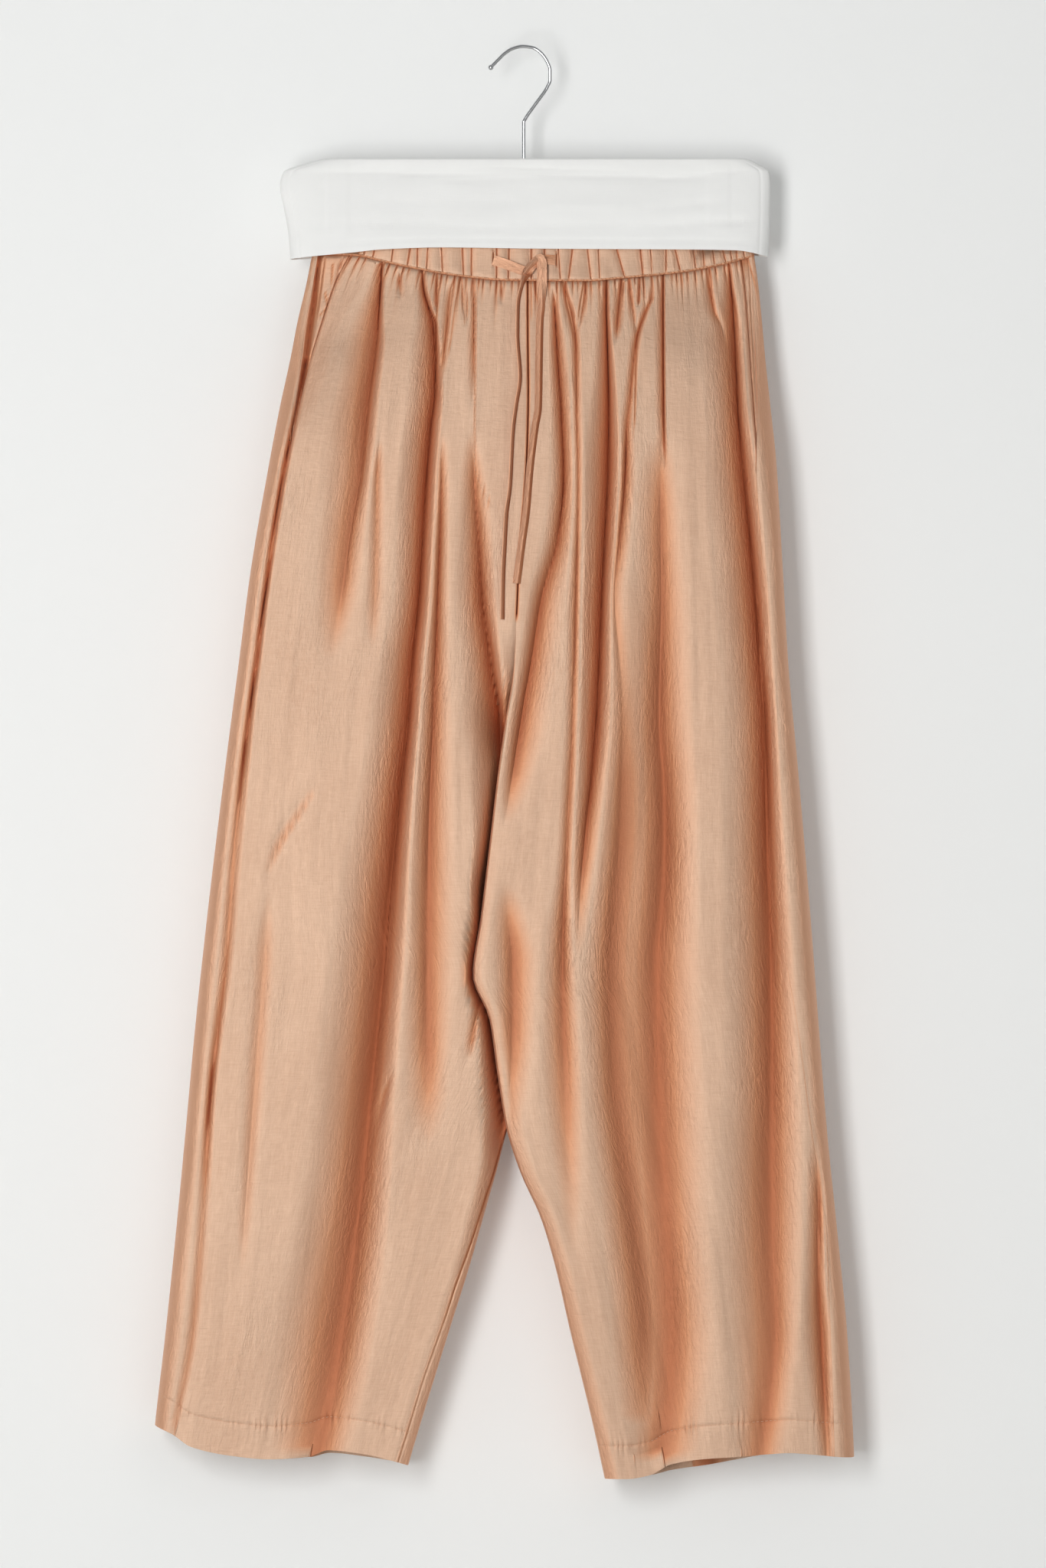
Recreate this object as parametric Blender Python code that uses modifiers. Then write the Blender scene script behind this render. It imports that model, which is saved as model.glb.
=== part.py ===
"""Pull-on maxi trousers with a drawstring, hanging by their waistband from a covered clip hanger.

Metres, +Z up, the front faces -Y. The origin is the inside top of the hanger's hook.
The tables below are in millimetres, and MM turns them into metres when a mesh is made.
"""
import math
from collections import namedtuple

import bmesh
import bpy
import numpy as np
from mathutils import Matrix, Vector

MM = 0.001

# Driving dimensions, in millimetres
CLOTH = 1.2              # wall of the crinkled satin
BAND_CLOTH = 1.6         # doubled cloth round the elastic
COVER_CLOTH = 1.0        # cotton cover over the hanger
SEAM_GAP = 0.4           # between two pieces that are sewn together
INNER_GAP = 0.8          # the same at the centre seam and inside of the leg
SHIFT = 3.0              # how far the pocket facing lies behind the front
WAIST_MIDDLE = 8.25      # x of the middle of the waist
END_ROUND = 2.8          # radius of the rounding at the folded sides
INNER_REACH = 50.0       # from an inner edge to where a panel has its full depth
EDGE_FADE = 16.0         # folds die out this far from the outer edge
ROLL = 0.075             # share of a panel's width that rolls round at an inner edge
WRAP_BACK = 25.0         # width of the rounded side on the back
BAND_RISE = 19.0         # how much the band's top sags between the clips
BAND_TOP = -131.0        # the band's top edge at the clips
BAND_SAG_REACH = 150.0   # from the band's middle to where the sag ends
LAP_TOP = -480.0         # below this one leg lies over the other
LAP_FADE = 12.0          # folds of the leg behind die out this far from its inner edge
TUCK_START = 5.0         # gathers reach their full depth this far below the seam
TUCK_SOFTNESS = 1.6      # and fade out over this many times their length
TUCK_CREST = 0.35        # height of the crest between two tucks, as a share of the tuck's depth

PINCH_WIDTH = 24.0       # the clips press the band flat this far to each side
PINCH_SIDE_FADE = 12.0
PINCH_HEIGHT = 38.0      # and this far below its top edge
PINCH_FOOT_FADE = 14.0
PINCH_DEPTH = 1.6        # half depth of the pressed band

WIRE = 3.0               # hook wire
HOOK_TIP = 4.6           # ball on the hook's tip
BAR_TOP = -93.0
BAR_HEIGHT = 24.0
BAR_DEPTH = 7.0
BAR_LEFT = -185.0
BAR_RIGHT = 190.0
BAR_CHAMFER = 9.0
BAR_EDGE = 0.6
CLIP_WIDTH = 18.0
CLIP_STEEL = 1.4
CLIP_FOOT = -151.0
CLIP_CENTRES = {"clip_left": -150.0, "clip_right": 158.0}

TAPE_WIDTH = 8.0         # flat self-fabric drawstring
TAPE_THICK = 0.9

# Outline from the front: outer edges, side seams, and how far inside them the pocket mouths lie
Outline = namedtuple("Outline", "z left_edge left_seam left_mouth right_mouth right_seam right_edge")
OUTLINE = [
    Outline(-160, -169.0, -165.0, 30.0, 7.5, 181.5, 185.5),
    Outline(-191, -175.0, -170.0, 18.5, 6.5, 185.0, 190.0),
    Outline(-221, -182.0, -175.5, 14.0, 5.5, 186.5, 193.0),
    Outline(-252, -188.0, -179.5, 8.5, 5.0, 188.0, 195.8),
    Outline(-291, -196.5, -184.5, 4.0, 3.5, 189.0, 200.0),
    Outline(-333, -204.5, -189.0, 0.0, 0.0, 188.5, 204.5),
    Outline(-423, -220.0, -203.0, 0.0, 0.0, 194.0, 210.0),
    Outline(-500, -230.0, -214.5, 0.0, 0.0, 198.5, 214.5),
    Outline(-581, -240.5, -222.0, 0.0, 0.0, 202.0, 222.0),
    Outline(-705, -255.5, -235.5, 0.0, 0.0, 208.5, 232.5),
    Outline(-798, -265.5, -246.0, 0.0, 0.0, 223.0, 239.5),
    Outline(-874, -272.5, -252.5, 0.0, 0.0, 233.0, 245.5),
    Outline(-958, -280.5, -260.5, 0.0, 0.0, 245.0, 254.0),
    Outline(-1040, -289.0, -267.0, 0.0, 0.0, 248.5, 262.0),
    Outline(-1114, -297.5, -281.0, 0.0, 0.0, 251.0, 266.5),
    Outline(-1160, -302.0, -288.0, 0.0, 0.0, 252.5, 268.5),
]

# Depth of the flat part of the front and back, and how square the section is
Depth = namedtuple("Depth", "z front back power root")
DEPTHS = [
    Depth(-130, 9.4, 9.4, 2.0, 1.0),
    Depth(-169, 10.9, 10.9, 2.0, 1.0),
    Depth(-221, 16.4, 15.4, 3.0, 0.8),
    Depth(-277, 20.4, 18.4, 5.0, 0.6),
    Depth(-333, 23.4, 20.4, 8.0, 0.5),
    Depth(-500, 25.4, 25.4, 8.0, 0.5),
    Depth(-643, 26.4, 26.4, 8.0, 0.5),
    Depth(-874, 24.4, 24.4, 8.0, 0.5),
    Depth(-1040, 22.4, 22.4, 8.0, 0.5),
    Depth(-1160, 21.4, 21.4, 8.0, 0.5),
]

# Inner edge of each panel: the centre seam, then the inside of the leg.
# near is the depth that the panel has just before it rolls round to that edge, and flat is how far
# from it the panel keeps that depth, where one leg lies behind the other.
Inner = namedtuple("Inner", "z x y near flat", defaults=[0.0])
INNER_EDGES = {
    "front_right": [
        Inner(-160, 3.7, -13.0, -13.0), Inner(-221, 3.8, -18.8, -18.8), Inner(-277, 4.3, -23.0, -23.0),
        Inner(-333, 3.0, -26.0, -26.0), Inner(-423, -3.5, -27.5, -27.5), Inner(-461, -5.2, -28.0, -28.0),
        Inner(-500, -6.8, -27.5, -28.5), Inner(-540, -13.0, -26.0, -29.0), Inner(-581, -19.0, -24.0, -29.0),
        Inner(-643, -26.5, -20.0, -28.0), Inner(-705, -34.0, -17.0, -27.0), Inner(-750, -40.3, -15.2, -26.0),
        Inner(-785, -27.0, -13.0, -25.0), Inner(-829, -20.5, -12.0, -24.0), Inner(-874, -13.0, -11.0, -23.0),
        Inner(-909, -2.0, -10.2, -22.2), Inner(-947, 14.9, -9.4, -21.4), Inner(-984, 26.0, -8.6, -20.6),
        Inner(-1040, 39.0, -8.0, -20.0), Inner(-1114, 57.0, -7.0, -19.0), Inner(-1160, 67.0, -6.0, -18.0)],
    "front_left": [
        Inner(-160, 3.7, -13.0, -13.0), Inner(-221, 3.8, -18.8, -18.8), Inner(-277, 4.3, -23.0, -23.0),
        Inner(-333, 3.0, -26.0, -26.0), Inner(-423, -3.5, -27.5, -27.5), Inner(-461, -5.2, -28.0, -28.0),
        Inner(-500, -6.8, -23.0, -23.0), Inner(-540, -13.0, -18.0, -18.0), Inner(-581, -13.0, -13.0, -13.0, 8),
        Inner(-643, -10.0, -4.0, -4.0, 19), Inner(-674, -6.0, 2.0, 2.0, 29), Inner(-705, 6.0, 4.0, 3.0, 43),
        Inner(-750, 30.0, 10.6, 4.0, 74), Inner(-785, 25.0, 13.0, 3.0, 56), Inner(-829, 17.0, 12.0, 2.0, 41),
        Inner(-874, 6.0, 11.0, 1.0, 23), Inner(-909, -5.4, 10.2, 0.0, 6), Inner(-947, -20.0, 10.0, -2.0),
        Inner(-984, -34.1, 9.6, -3.0), Inner(-1040, -53.3, 9.0, -4.0), Inner(-1114, -76.3, 8.0, -6.0),
        Inner(-1160, -91.0, 8.0, -7.0)],
    "back_left": [
        Inner(-160, 3.7, 13.0, 13.0), Inner(-221, 3.8, 18.0, 18.0), Inner(-277, 4.5, 21.0, 21.0),
        Inner(-333, 5.0, 23.0, 23.0), Inner(-423, 7.0, 26.0, 26.0), Inner(-461, 8.5, 27.0, 27.0),
        Inner(-500, 10.0, 27.0, 28.0), Inner(-540, 13.0, 26.0, 29.0), Inner(-581, 16.0, 24.0, 29.0),
        Inner(-643, 20.0, 20.0, 28.0), Inner(-705, 26.0, 17.0, 27.0), Inner(-750, 30.0, 13.4, 25.0),
        Inner(-785, 25.0, 13.0, 25.0), Inner(-829, 17.0, 12.0, 24.0), Inner(-874, 6.0, 11.0, 23.0),
        Inner(-909, -5.4, 10.2, 22.2), Inner(-947, -20.0, 10.0, 22.0), Inner(-984, -34.1, 9.6, 21.6),
        Inner(-1040, -53.3, 9.0, 21.0), Inner(-1114, -76.3, 8.0, 20.0), Inner(-1160, -91.0, 8.0, 19.0)],
    "back_right": [
        Inner(-160, 3.7, 13.0, 13.0), Inner(-221, 3.8, 18.0, 18.0), Inner(-277, 4.5, 21.0, 21.0),
        Inner(-333, 5.0, 23.0, 23.0), Inner(-423, 7.0, 26.0, 26.0), Inner(-461, 8.5, 27.0, 27.0),
        Inner(-500, 10.0, 23.0, 23.0), Inner(-540, 13.0, 18.0, 18.0), Inner(-581, 11.0, 12.0, 12.0, 8),
        Inner(-643, 4.0, 2.0, 2.0, 21), Inner(-674, -5.0, -3.0, -3.0, 31), Inner(-705, -15.0, -6.0, -4.0, 45),
        Inner(-750, -40.3, -12.4, -5.0, 74), Inner(-785, -27.0, -13.0, -4.0, 56),
        Inner(-829, -20.5, -12.0, -3.0, 41), Inner(-874, -13.0, -11.0, -2.0, 23),
        Inner(-909, -2.0, -10.2, -1.0, 6), Inner(-947, 14.9, -9.4, 1.0), Inner(-984, 26.0, -8.6, 2.0),
        Inner(-1040, 39.0, -8.0, 4.0), Inner(-1114, 57.0, -7.0, 6.0), Inner(-1160, 67.0, -6.0, 7.0)],
}

# The waist seam dips in the middle; each hem has its own line on the front and on the back
WaistSeam = namedtuple("WaistSeam", "x z")
WAIST_SEAM = [
    WaistSeam(-170, -167.0), WaistSeam(-137, -167.8), WaistSeam(-113, -173.0), WaistSeam(-91, -178.0),
    WaistSeam(-51, -185.0), WaistSeam(-14, -188.5), WaistSeam(50, -189.0), WaistSeam(81, -186.6),
    WaistSeam(128, -181.7), WaistSeam(158, -176.0), WaistSeam(186, -168.6),
]
Hem = namedtuple("Hem", "x front back")
HEMS = {
    "left": [
        Hem(-298, -1114, -1114), Hem(-283, -1121, -1121), Hem(-268, -1131, -1131), Hem(-237, -1138, -1136),
        Hem(-205, -1141, -1139), Hem(-173, -1139, -1142), Hem(-157, -1134, -1139), Hem(-128, -1137, -1142),
        Hem(-103, -1143, -1146), Hem(-90, -1147, -1148)],
    "right": [
        Hem(64, -1157, -1157), Hem(83, -1157, -1156), Hem(102, -1154, -1157), Hem(120, -1145, -1153),
        Hem(145, -1141, -1149), Hem(175, -1139, -1144), Hem(200, -1137, -1139), Hem(215, -1136, -1135),
        Hem(231, -1137, -1136), Hem(252, -1139, -1139), Hem(268, -1140, -1140)],
}

# Folds: rise is how far a ridge stands out (a valley is negative), left and right are its half widths
Fold = namedtuple("Fold", "z x rise left right")
FOLDS = {
    "front_left": [
        [Fold(-168, -113.5, -2, 9, 4), Fold(-200, -115, -6, 18, 5), Fold(-240, -120, -7, 26, 7),
         Fold(-308, -129.6, -6, 28, 10), Fold(-395, -140.7, -4, 28, 14), Fold(-494, -158.7, -3, 24, 16),
         Fold(-593, -174.8, -2, 18, 14), Fold(-660, -190, 0, 14, 12)],
        [Fold(-174, -81.8, -2, 8, 4), Fold(-221, -72.5, -8, 18, 7), Fold(-271, -72.5, -11, 26, 9),
         Fold(-345, -79.4, -13, 32, 11), Fold(-445, -86.2, -14, 40, 12), Fold(-643, -106, -14, 56, 14),
         Fold(-841, -125.2, -13, 56, 18), Fold(-941, -135.8, -12, 54, 20), Fold(-1040, -148.2, -10, 50, 22),
         Fold(-1150, -165, -7, 44, 24)],
        [Fold(-430, -68, 0, 7, 7), Fold(-544, -74.4, -4, 9, 9), Fold(-693, -80.6, -3, 9, 9),
         Fold(-830, -77, 0, 8, 8)],
        [Fold(-200, -50, 0, 12, 12), Fold(-271, -55, 4, 14, 14), Fold(-395, -58.3, 6, 18, 18),
         Fold(-593, -57, 9, 20, 20), Fold(-792, -58.9, 7, 24, 20), Fold(-900, -62, 0, 20, 20)],
        [Fold(-330, -26, 0, 10, 10), Fold(-395, -32.9, -5, 12, 12), Fold(-445, -35.3, -6, 12, 12),
         Fold(-520, -30, 0, 10, 10)],
        [Fold(-700, -205, 0, 10, 10), Fold(-792, -209.6, -3, 12, 12), Fold(-891, -221, -3, 12, 14),
         Fold(-970, -227, 0, 12, 12)],
        [Fold(-596, -166, 0, 7, 7), Fold(-635, -188, -3, 8, 6), Fold(-672, -208, 0, 7, 7)],
        [Fold(-762, -35, 0, 6, 6), Fold(-790, -39, -3, 6, 6), Fold(-818, -43, 0, 6, 6)],
    ],
    "front_right": [
        [Fold(-190, 26.7, -2, 6, 6), Fold(-240, 27, -6, 9, 9), Fold(-345, 30.4, -7, 10, 14),
         Fold(-395, 27, -6, 12, 16), Fold(-445, 13, -7, 10, 14), Fold(-494, 5, -6, 9, 16),
         Fold(-560, -2, 0, 8, 10)],
        [Fold(-230, 35, 0, 8, 8), Fold(-308, 50, 3, 12, 10), Fold(-395, 46, 5, 14, 11),
         Fold(-494, 29, 6, 16, 16), Fold(-643, 23, 6, 18, 18), Fold(-792, 9, 5, 16, 16),
         Fold(-891, 14, 4, 16, 16), Fold(-1000, 30, 0, 16, 16)],
        [Fold(-175, 68, -2, 5, 4), Fold(-221, 68.5, -8, 8, 6), Fold(-308, 67.6, -12, 11, 9),
         Fold(-395, 65.1, -13, 13, 11), Fold(-494, 60.8, -12, 14, 12), Fold(-593, 54.6, -10, 14, 12),
         Fold(-643, 47, -6, 14, 14), Fold(-742, 30.4, -5, 12, 12), Fold(-841, 33.5, -4, 12, 12),
         Fold(-1000, 44, 0, 14, 14)],
        [Fold(-260, 81, 0, 8, 8), Fold(-395, 86.8, 3, 12, 14), Fold(-544, 74, 5, 12, 14),
         Fold(-643, 60, 6, 10, 12), Fold(-705, 48, 5, 10, 14), Fold(-792, 46, 5, 12, 16),
         Fold(-941, 50, 4, 16, 18), Fold(-1080, 62, 0, 16, 18)],
        [Fold(-172, 113.5, -2, 5, 4), Fold(-200, 113.2, -7, 8, 4), Fold(-261, 112.8, -7, 9, 5),
         Fold(-345, 114.7, 0, 10, 8)],
        [Fold(-330, 114, 0, 20, 14), Fold(-395, 117.8, -7, 26, 14), Fold(-494, 110.4, -11, 30, 20),
         Fold(-593, 106, -12, 34, 26), Fold(-693, 103, -13, 38, 30), Fold(-792, 97, -13, 38, 34),
         Fold(-891, 103.5, -11, 30, 30), Fold(-990, 105, -9, 28, 32), Fold(-1150, 111, -6, 22, 30)],
        [Fold(-209, 132, 0, 12, 12), Fold(-308, 138.9, 3, 18, 18), Fold(-494, 138.3, 5, 18, 22),
         Fold(-693, 150, 6, 22, 24), Fold(-891, 148, 6, 24, 26), Fold(-1089, 153, 5, 26, 20),
         Fold(-1150, 155, 3, 26, 18)],
        [Fold(-180, 164, -2, 9, 6), Fold(-240, 165, -5, 14, 8), Fold(-345, 173, -8, 18, 10),
         Fold(-445, 183, -9, 22, 8), Fold(-593, 187.2, -9, 22, 14), Fold(-742, 195.3, -9, 24, 12),
         Fold(-891, 196.5, -9, 26, 14), Fold(-1000, 201.5, -8, 28, 12), Fold(-1089, 190, -5, 20, 16),
         Fold(-1150, 185, -4, 18, 18)],
        [Fold(-900, 234, 0, 6, 6), Fold(-990, 238.7, -4, 8, 6), Fold(-1089, 241.2, -4, 10, 6),
         Fold(-1150, 245, -3, 10, 6)],
        [Fold(-660, -6, 0, 8, 8), Fold(-742, -8.7, -4, 10, 10), Fold(-820, -10, -5, 8, 10),
         Fold(-920, 14, 0, 8, 8)],
    ],
    "back_left": [
        [Fold(-180, -95, -2, 8, 8), Fold(-300, -100, -8, 18, 14), Fold(-600, -125, -11, 28, 18),
         Fold(-900, -150, -10, 30, 20), Fold(-1150, -180, -6, 26, 20)],
        [Fold(-185, -30, -2, 7, 7), Fold(-280, -34, -6, 12, 14), Fold(-450, -45, -9, 18, 18),
         Fold(-700, -62, -8, 22, 18), Fold(-1000, -95, -4, 18, 16), Fold(-1120, -105, 0, 16, 16)],
        [Fold(-175, -135, -2, 6, 6), Fold(-300, -150, -6, 14, 14), Fold(-600, -190, -6, 16, 16),
         Fold(-1000, -225, -5, 18, 14), Fold(-1150, -238, -3, 16, 14)],
        [Fold(-230, -66, 0, 12, 12), Fold(-420, -74, 5, 20, 20), Fold(-800, -95, 6, 24, 24),
         Fold(-1060, -125, 0, 20, 20)],
    ],
    "back_right": [
        [Fold(-185, 60, -2, 6, 6), Fold(-280, 58, -8, 13, 12), Fold(-450, 62, -12, 22, 18),
         Fold(-650, 84, -11, 26, 20), Fold(-900, 120, -9, 26, 22), Fold(-1150, 150, -6, 24, 22)],
        [Fold(-178, 120, -2, 6, 6), Fold(-300, 122, -7, 14, 12), Fold(-500, 135, -9, 20, 16),
         Fold(-800, 172, -8, 22, 18), Fold(-1150, 205, -5, 20, 16)],
        [Fold(-250, 92, 0, 12, 12), Fold(-420, 96, 5, 18, 18), Fold(-700, 126, 6, 20, 22),
         Fold(-1000, 160, 4, 20, 20), Fold(-1120, 176, 0, 18, 18)],
        [Fold(-200, 24, 0, 8, 8), Fold(-320, 26, -5, 12, 12), Fold(-430, 30, -4, 12, 12),
         Fold(-520, 34, 0, 12, 12)],
    ],
}

# Gathers under the waist seam: where each tuck is sewn, how deep it is and how far down it runs
Tuck = namedtuple("Tuck", "x depth length")
TUCKS = {
    "front_left": [
        Tuck(-17.4, 1.6, 16), Tuck(-22.3, 1.2, 18), Tuck(-29.1, 2.2, 40), Tuck(-39.1, 2.4, 90),
        Tuck(-45.3, 2.4, 60), Tuck(-50.2, 2.6, 80), Tuck(-56.4, 3.0, 50), Tuck(-70.1, 1.6, 26),
        Tuck(-76.3, 1.4, 14), Tuck(-81.2, 3.2, 22), Tuck(-88.0, 1.4, 18), Tuck(-92.4, 1.6, 22),
        Tuck(-99.2, 2.2, 45), Tuck(-114.7, 3.0, 30), Tuck(-121.5, 2.2, 26), Tuck(-133.3, 0.8, 24)],
    "front_right": [
        Tuck(29.1, 3.0, 60), Tuck(34.1, 2.0, 40), Tuck(38.4, 2.6, 60),
        Tuck(47.1, 2.0, 34), Tuck(52.7, 1.6, 22), Tuck(68.2, 3.0, 30), Tuck(74.4, 1.6, 40),
        Tuck(80.0, 2.6, 50), Tuck(88.7, 2.0, 40), Tuck(94.9, 2.6, 26), Tuck(103.5, 2.4, 40),
        Tuck(113.5, 3.0, 26), Tuck(122.1, 2.4, 34), Tuck(130.2, 2.0, 26), Tuck(140.7, 2.0, 26),
        Tuck(151.3, 2.4, 40), Tuck(163.7, 2.6, 50), Tuck(171.7, 0.8, 30)],
}
BACK_TUCKS = 8           # on each half of the back, evenly but not exactly spaced
BACK_FIRST_TUCK = 0.13   # share of the back's width
BACK_TUCK_SPREAD = 0.80

# Tucks in the front of the elastic band
BAND_TUCKS = [
    -156.0, -144.0, -132.1, -119.0, -105.4, -91.8, -83.1, -71.9, -61.4, -53.9, -47.7, -40.3, -20.5, -11.8,
    6.5, 17.4, 28.9, 37.8, 50.2, 56.4, 63.2, 74.4, 80.0, 94.9, 106.0, 114.7, 124.6, 137.3, 145.1, 159.3,
    171.7, 179.8,
]
BAND_TUCK_DEPTH = 1.5
BACK_BAND_TUCKS = 24
BAND_END = 15.0          # from the back band's end to its first tuck
BAND_ROUNDING = (0.0, 0.06, 0.5, 1.6, 4.0)  # columns at the band's rounded ends, from the end
BAND_ROWS = (0.0, 0.2, 0.45, 1.0)           # shares of the band's height

# Levels at which the panels have their sections, from the waist seam down to the hem
TOP_LEVEL = -189.0
HEM_LEVEL = -1140.0
LEVELS = [
    TOP_LEVEL, -198, -212, -235, -270, -333, -395, -461, -500, -540, -581, -643, -674, -705, -750, -785,
    -829, -874, -958, -1050, HEM_LEVEL,
]
TOP_FADE = 75.0          # the dip of the waist seam has died out this far down
HEM_FADE = 100.0         # and the slant of the hem this far up
ROUND_STEPS = (0.75, 0.5, 0.25)             # columns on the back before the folded side
WRAP_STEPS = (0.35, 0.7, 1.0)               # and from the side to the seam on the front

FACING_LEVELS = [TOP_LEVEL, -205, -225, -250, -275, -300, -322, -345]
FACING_UNDER = 6.0       # how far the facing reaches in behind the front
FACING_COLUMNS = 7

# Cover: each ring's height, its two ends and its half depth
Ring = namedtuple("Ring", "z left right half_depth")
COVER_RINGS = [
    Ring(-166.0, -188.0, 198.0, 18.5), Ring(-150.0, -189.5, 199.0, 17.0), Ring(-130.0, -193.0, 199.6, 14.0),
    Ring(-112.0, -196.5, 199.8, 10.8), Ring(-100.5, -193.6, 199.0, 9.2), Ring(-94.5, -178.0, 190.5, 8.4),
    Ring(-91.0, -166.0, 184.0, 7.4), Ring(-89.8, -160.0, 180.0, 5.0),
]
CoverHem = namedtuple("CoverHem", "x z")
COVER_HEM = [
    CoverHem(-188, -171.0), CoverHem(-128, -166.5), CoverHem(-61, -161.5), CoverHem(30, -161.5),
    CoverHem(131, -164.5), CoverHem(198, -168.8),
]
COVER_SIDES = 32
HOOK_HOLE = 2.4

# Hook wire, from the tip to the bar
HookPoint = namedtuple("HookPoint", "x z")
HOOK = [
    HookPoint(-26.0, -15.5), HookPoint(-20.5, -9.8), HookPoint(-14.3, -3.9), HookPoint(-8.0, -0.2),
    HookPoint(-0.6, 1.5), HookPoint(7.4, 0.6), HookPoint(14.3, -3.6), HookPoint(19.2, -10.2),
    HookPoint(21.9, -18.0), HookPoint(21.9, -25.5), HookPoint(19.4, -32.0), HookPoint(10.0, -45.4),
    HookPoint(2.2, -56.6), HookPoint(0.6, -60.4), HookPoint(0.6, -74.0), HookPoint(0.6, BAR_TOP + 0.4),
]

# Drawstring tape: lift is its distance off the cloth, turn its twist about the vertical, in degrees
Tape = namedtuple("Tape", "x z lift turn")
TAPES = {
    "drawstring_left_lead": [
        Tape(-24.0, -172.4, 1.2, 0), Tape(-18.0, -174.2, 1.3, 0), Tape(-11.0, -176.7, 1.4, 0),
        Tape(-4.0, -179.3, 1.5, 0), Tape(1.0, -181.2, 1.6, 0), Tape(3.6, -182.4, 1.6, 0)],
    "drawstring_right_lead": [
        Tape(26.2, -172.4, 1.2, 0), Tape(22.0, -172.2, 1.4, 0), Tape(18.0, -172.0, 1.8, 0),
        Tape(13.0, -172.4, 2.6, 0)],
    "drawstring_left_tail": [
        Tape(1.4, -186.0, 3.4, 30), Tape(-1.2, -194.0, 4.6, 48), Tape(-4.2, -209.0, 5.2, 58),
        Tape(-4.6, -234.0, 5.2, 60), Tape(-2.4, -266.0, 5.0, 58), Tape(-5.6, -290.0, 5.0, 60),
        Tape(-8.1, -310.0, 5.0, 60), Tape(-10.5, -355.0, 5.0, 62), Tape(-13.6, -379.0, 5.0, 60),
        Tape(-14.9, -403.0, 5.0, 58), Tape(-16.1, -427.0, 5.0, 60), Tape(-16.7, -463.0, 5.0, 60)],
    "drawstring_right_tail": [
        Tape(13.4, -171.4, 4.6, 0), Tape(15.2, -176.0, 5.4, 0), Tape(15.4, -184.0, 4.8, 0),
        Tape(15.0, -196.0, 3.2, 0), Tape(15.5, -209.0, 2.8, 5), Tape(14.3, -222.0, 2.8, 10),
        Tape(13.6, -250.0, 2.8, 15), Tape(13.0, -290.0, 2.8, 15), Tape(10.4, -308.0, 2.8, 20),
        Tape(6.4, -340.0, 2.8, 15), Tape(3.2, -376.0, 2.8, 10), Tape(-0.6, -403.0, 2.8, 5),
        Tape(-4.6, -434.0, 2.8, 0)],
    "drawstring_knot": [
        Tape(2.4, -184.6, 3.0, 0), Tape(5.0, -180.6, 3.2, 0), Tape(8.6, -176.8, 3.2, 0),
        Tape(12.0, -173.6, 3.6, 0)],
}
TAPE_STEPS = 3           # pieces between two points of a tail's route


def smooth(knots, values, places):
    """Monotone cubic curve through the knots, read at the places."""
    order = np.argsort(knots)
    knots = np.asarray(knots, dtype=float)[order]
    values = np.asarray(values, dtype=float)[order]
    step = np.diff(knots)
    slope = np.diff(values) / step
    tangent = np.empty_like(values)
    tangent[0], tangent[-1] = slope[0], slope[-1]
    before, after = slope[:-1], slope[1:]
    total = np.where(before + after == 0, 1.0, before + after)
    tangent[1:-1] = np.where(before * after > 0, 2 * before * after / total, 0.0)
    places = np.clip(places, knots[0], knots[-1])
    cell = np.clip(np.searchsorted(knots, places) - 1, 0, len(step) - 1)
    t = (places - knots[cell]) / step[cell]
    lead_in = (t - 2 * t**2 + t**3) * step[cell] * tangent[cell]
    lead_out = (t**3 - t**2) * step[cell] * tangent[cell + 1]
    rise = 3 * t**2 - 2 * t**3
    return values[cell] * (1 - rise) + values[cell + 1] * rise + lead_in + lead_out


def column(table, name, places, key="z"):
    """One named column of a table, read at the places."""
    return smooth([getattr(row, key) for row in table], [getattr(row, name) for row in table], places)


def mouth_line(side, z):
    """x of a front's outer edge: the slanted pocket mouth, then the side seam."""
    inward = 1 if side == "left" else -1
    return column(OUTLINE, side + "_seam", z) + inward * column(OUTLINE, side + "_mouth", z)


def ease(share):
    """0 to 1 with soft ends."""
    share = np.clip(share, 0.0, 1.0)
    return share * share * (3 - 2 * share)


def fold_rise(panel, x, z):
    """How far the folds of a panel stand out at x and z."""
    total = np.zeros(np.broadcast(x, z).shape)
    for fold in FOLDS[panel]:
        offset = x - column(fold, "x", z)
        width = np.where(offset < 0, column(fold, "left", z), column(fold, "right", z))
        along = (z <= fold[0].z) & (z >= fold[-1].z)
        profile = 0.5 + 0.5 * np.cos(math.pi * np.clip(offset / width, -1, 1))
        total = total + np.where(along, column(fold, "rise", z) * profile, 0.0)
    return total


def half_depth(face, side, x, z):
    """Half depth of the trousers' section, square below and lens-shaped at the waist."""
    edge = column(OUTLINE, side + "_edge", z)
    across = np.clip((x - WAIST_MIDDLE) / (edge - WAIST_MIDDLE), 0.0, 1.0)
    body = (1 - across ** column(DEPTHS, "power", z)) ** column(DEPTHS, "root", z)
    from_edge = np.clip(np.abs(edge - x), 0.0, END_ROUND)
    return column(DEPTHS, face, z) * body + np.sqrt(END_ROUND**2 - (END_ROUND - from_edge) ** 2)


def wall(panel, x, z):
    """y of the middle of a panel's wall, before it rolls round at its inner edge."""
    face, side = panel.split("_")
    outward = -1 if face == "front" else 1
    full = outward * half_depth(face, side, x, z)
    inner = INNER_EDGES[panel]
    near = column(inner, "near", z)
    reach = (np.abs(x - column(inner, "x", z)) - column(inner, "flat", z)) / INNER_REACH
    base = near + (full - near) * ease(reach)
    to_edge = np.abs(column(OUTLINE, side + "_edge", z) - x) / EDGE_FADE
    hidden = ease(np.abs(x - column(inner, "x", z)) / LAP_FADE)
    behind = (panel in ("front_left", "back_right")) & (z < LAP_TOP)
    fade = ease(to_edge) * np.where(behind, hidden, 1.0)
    return base + outward * fold_rise(panel, x, z) * fade


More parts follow.
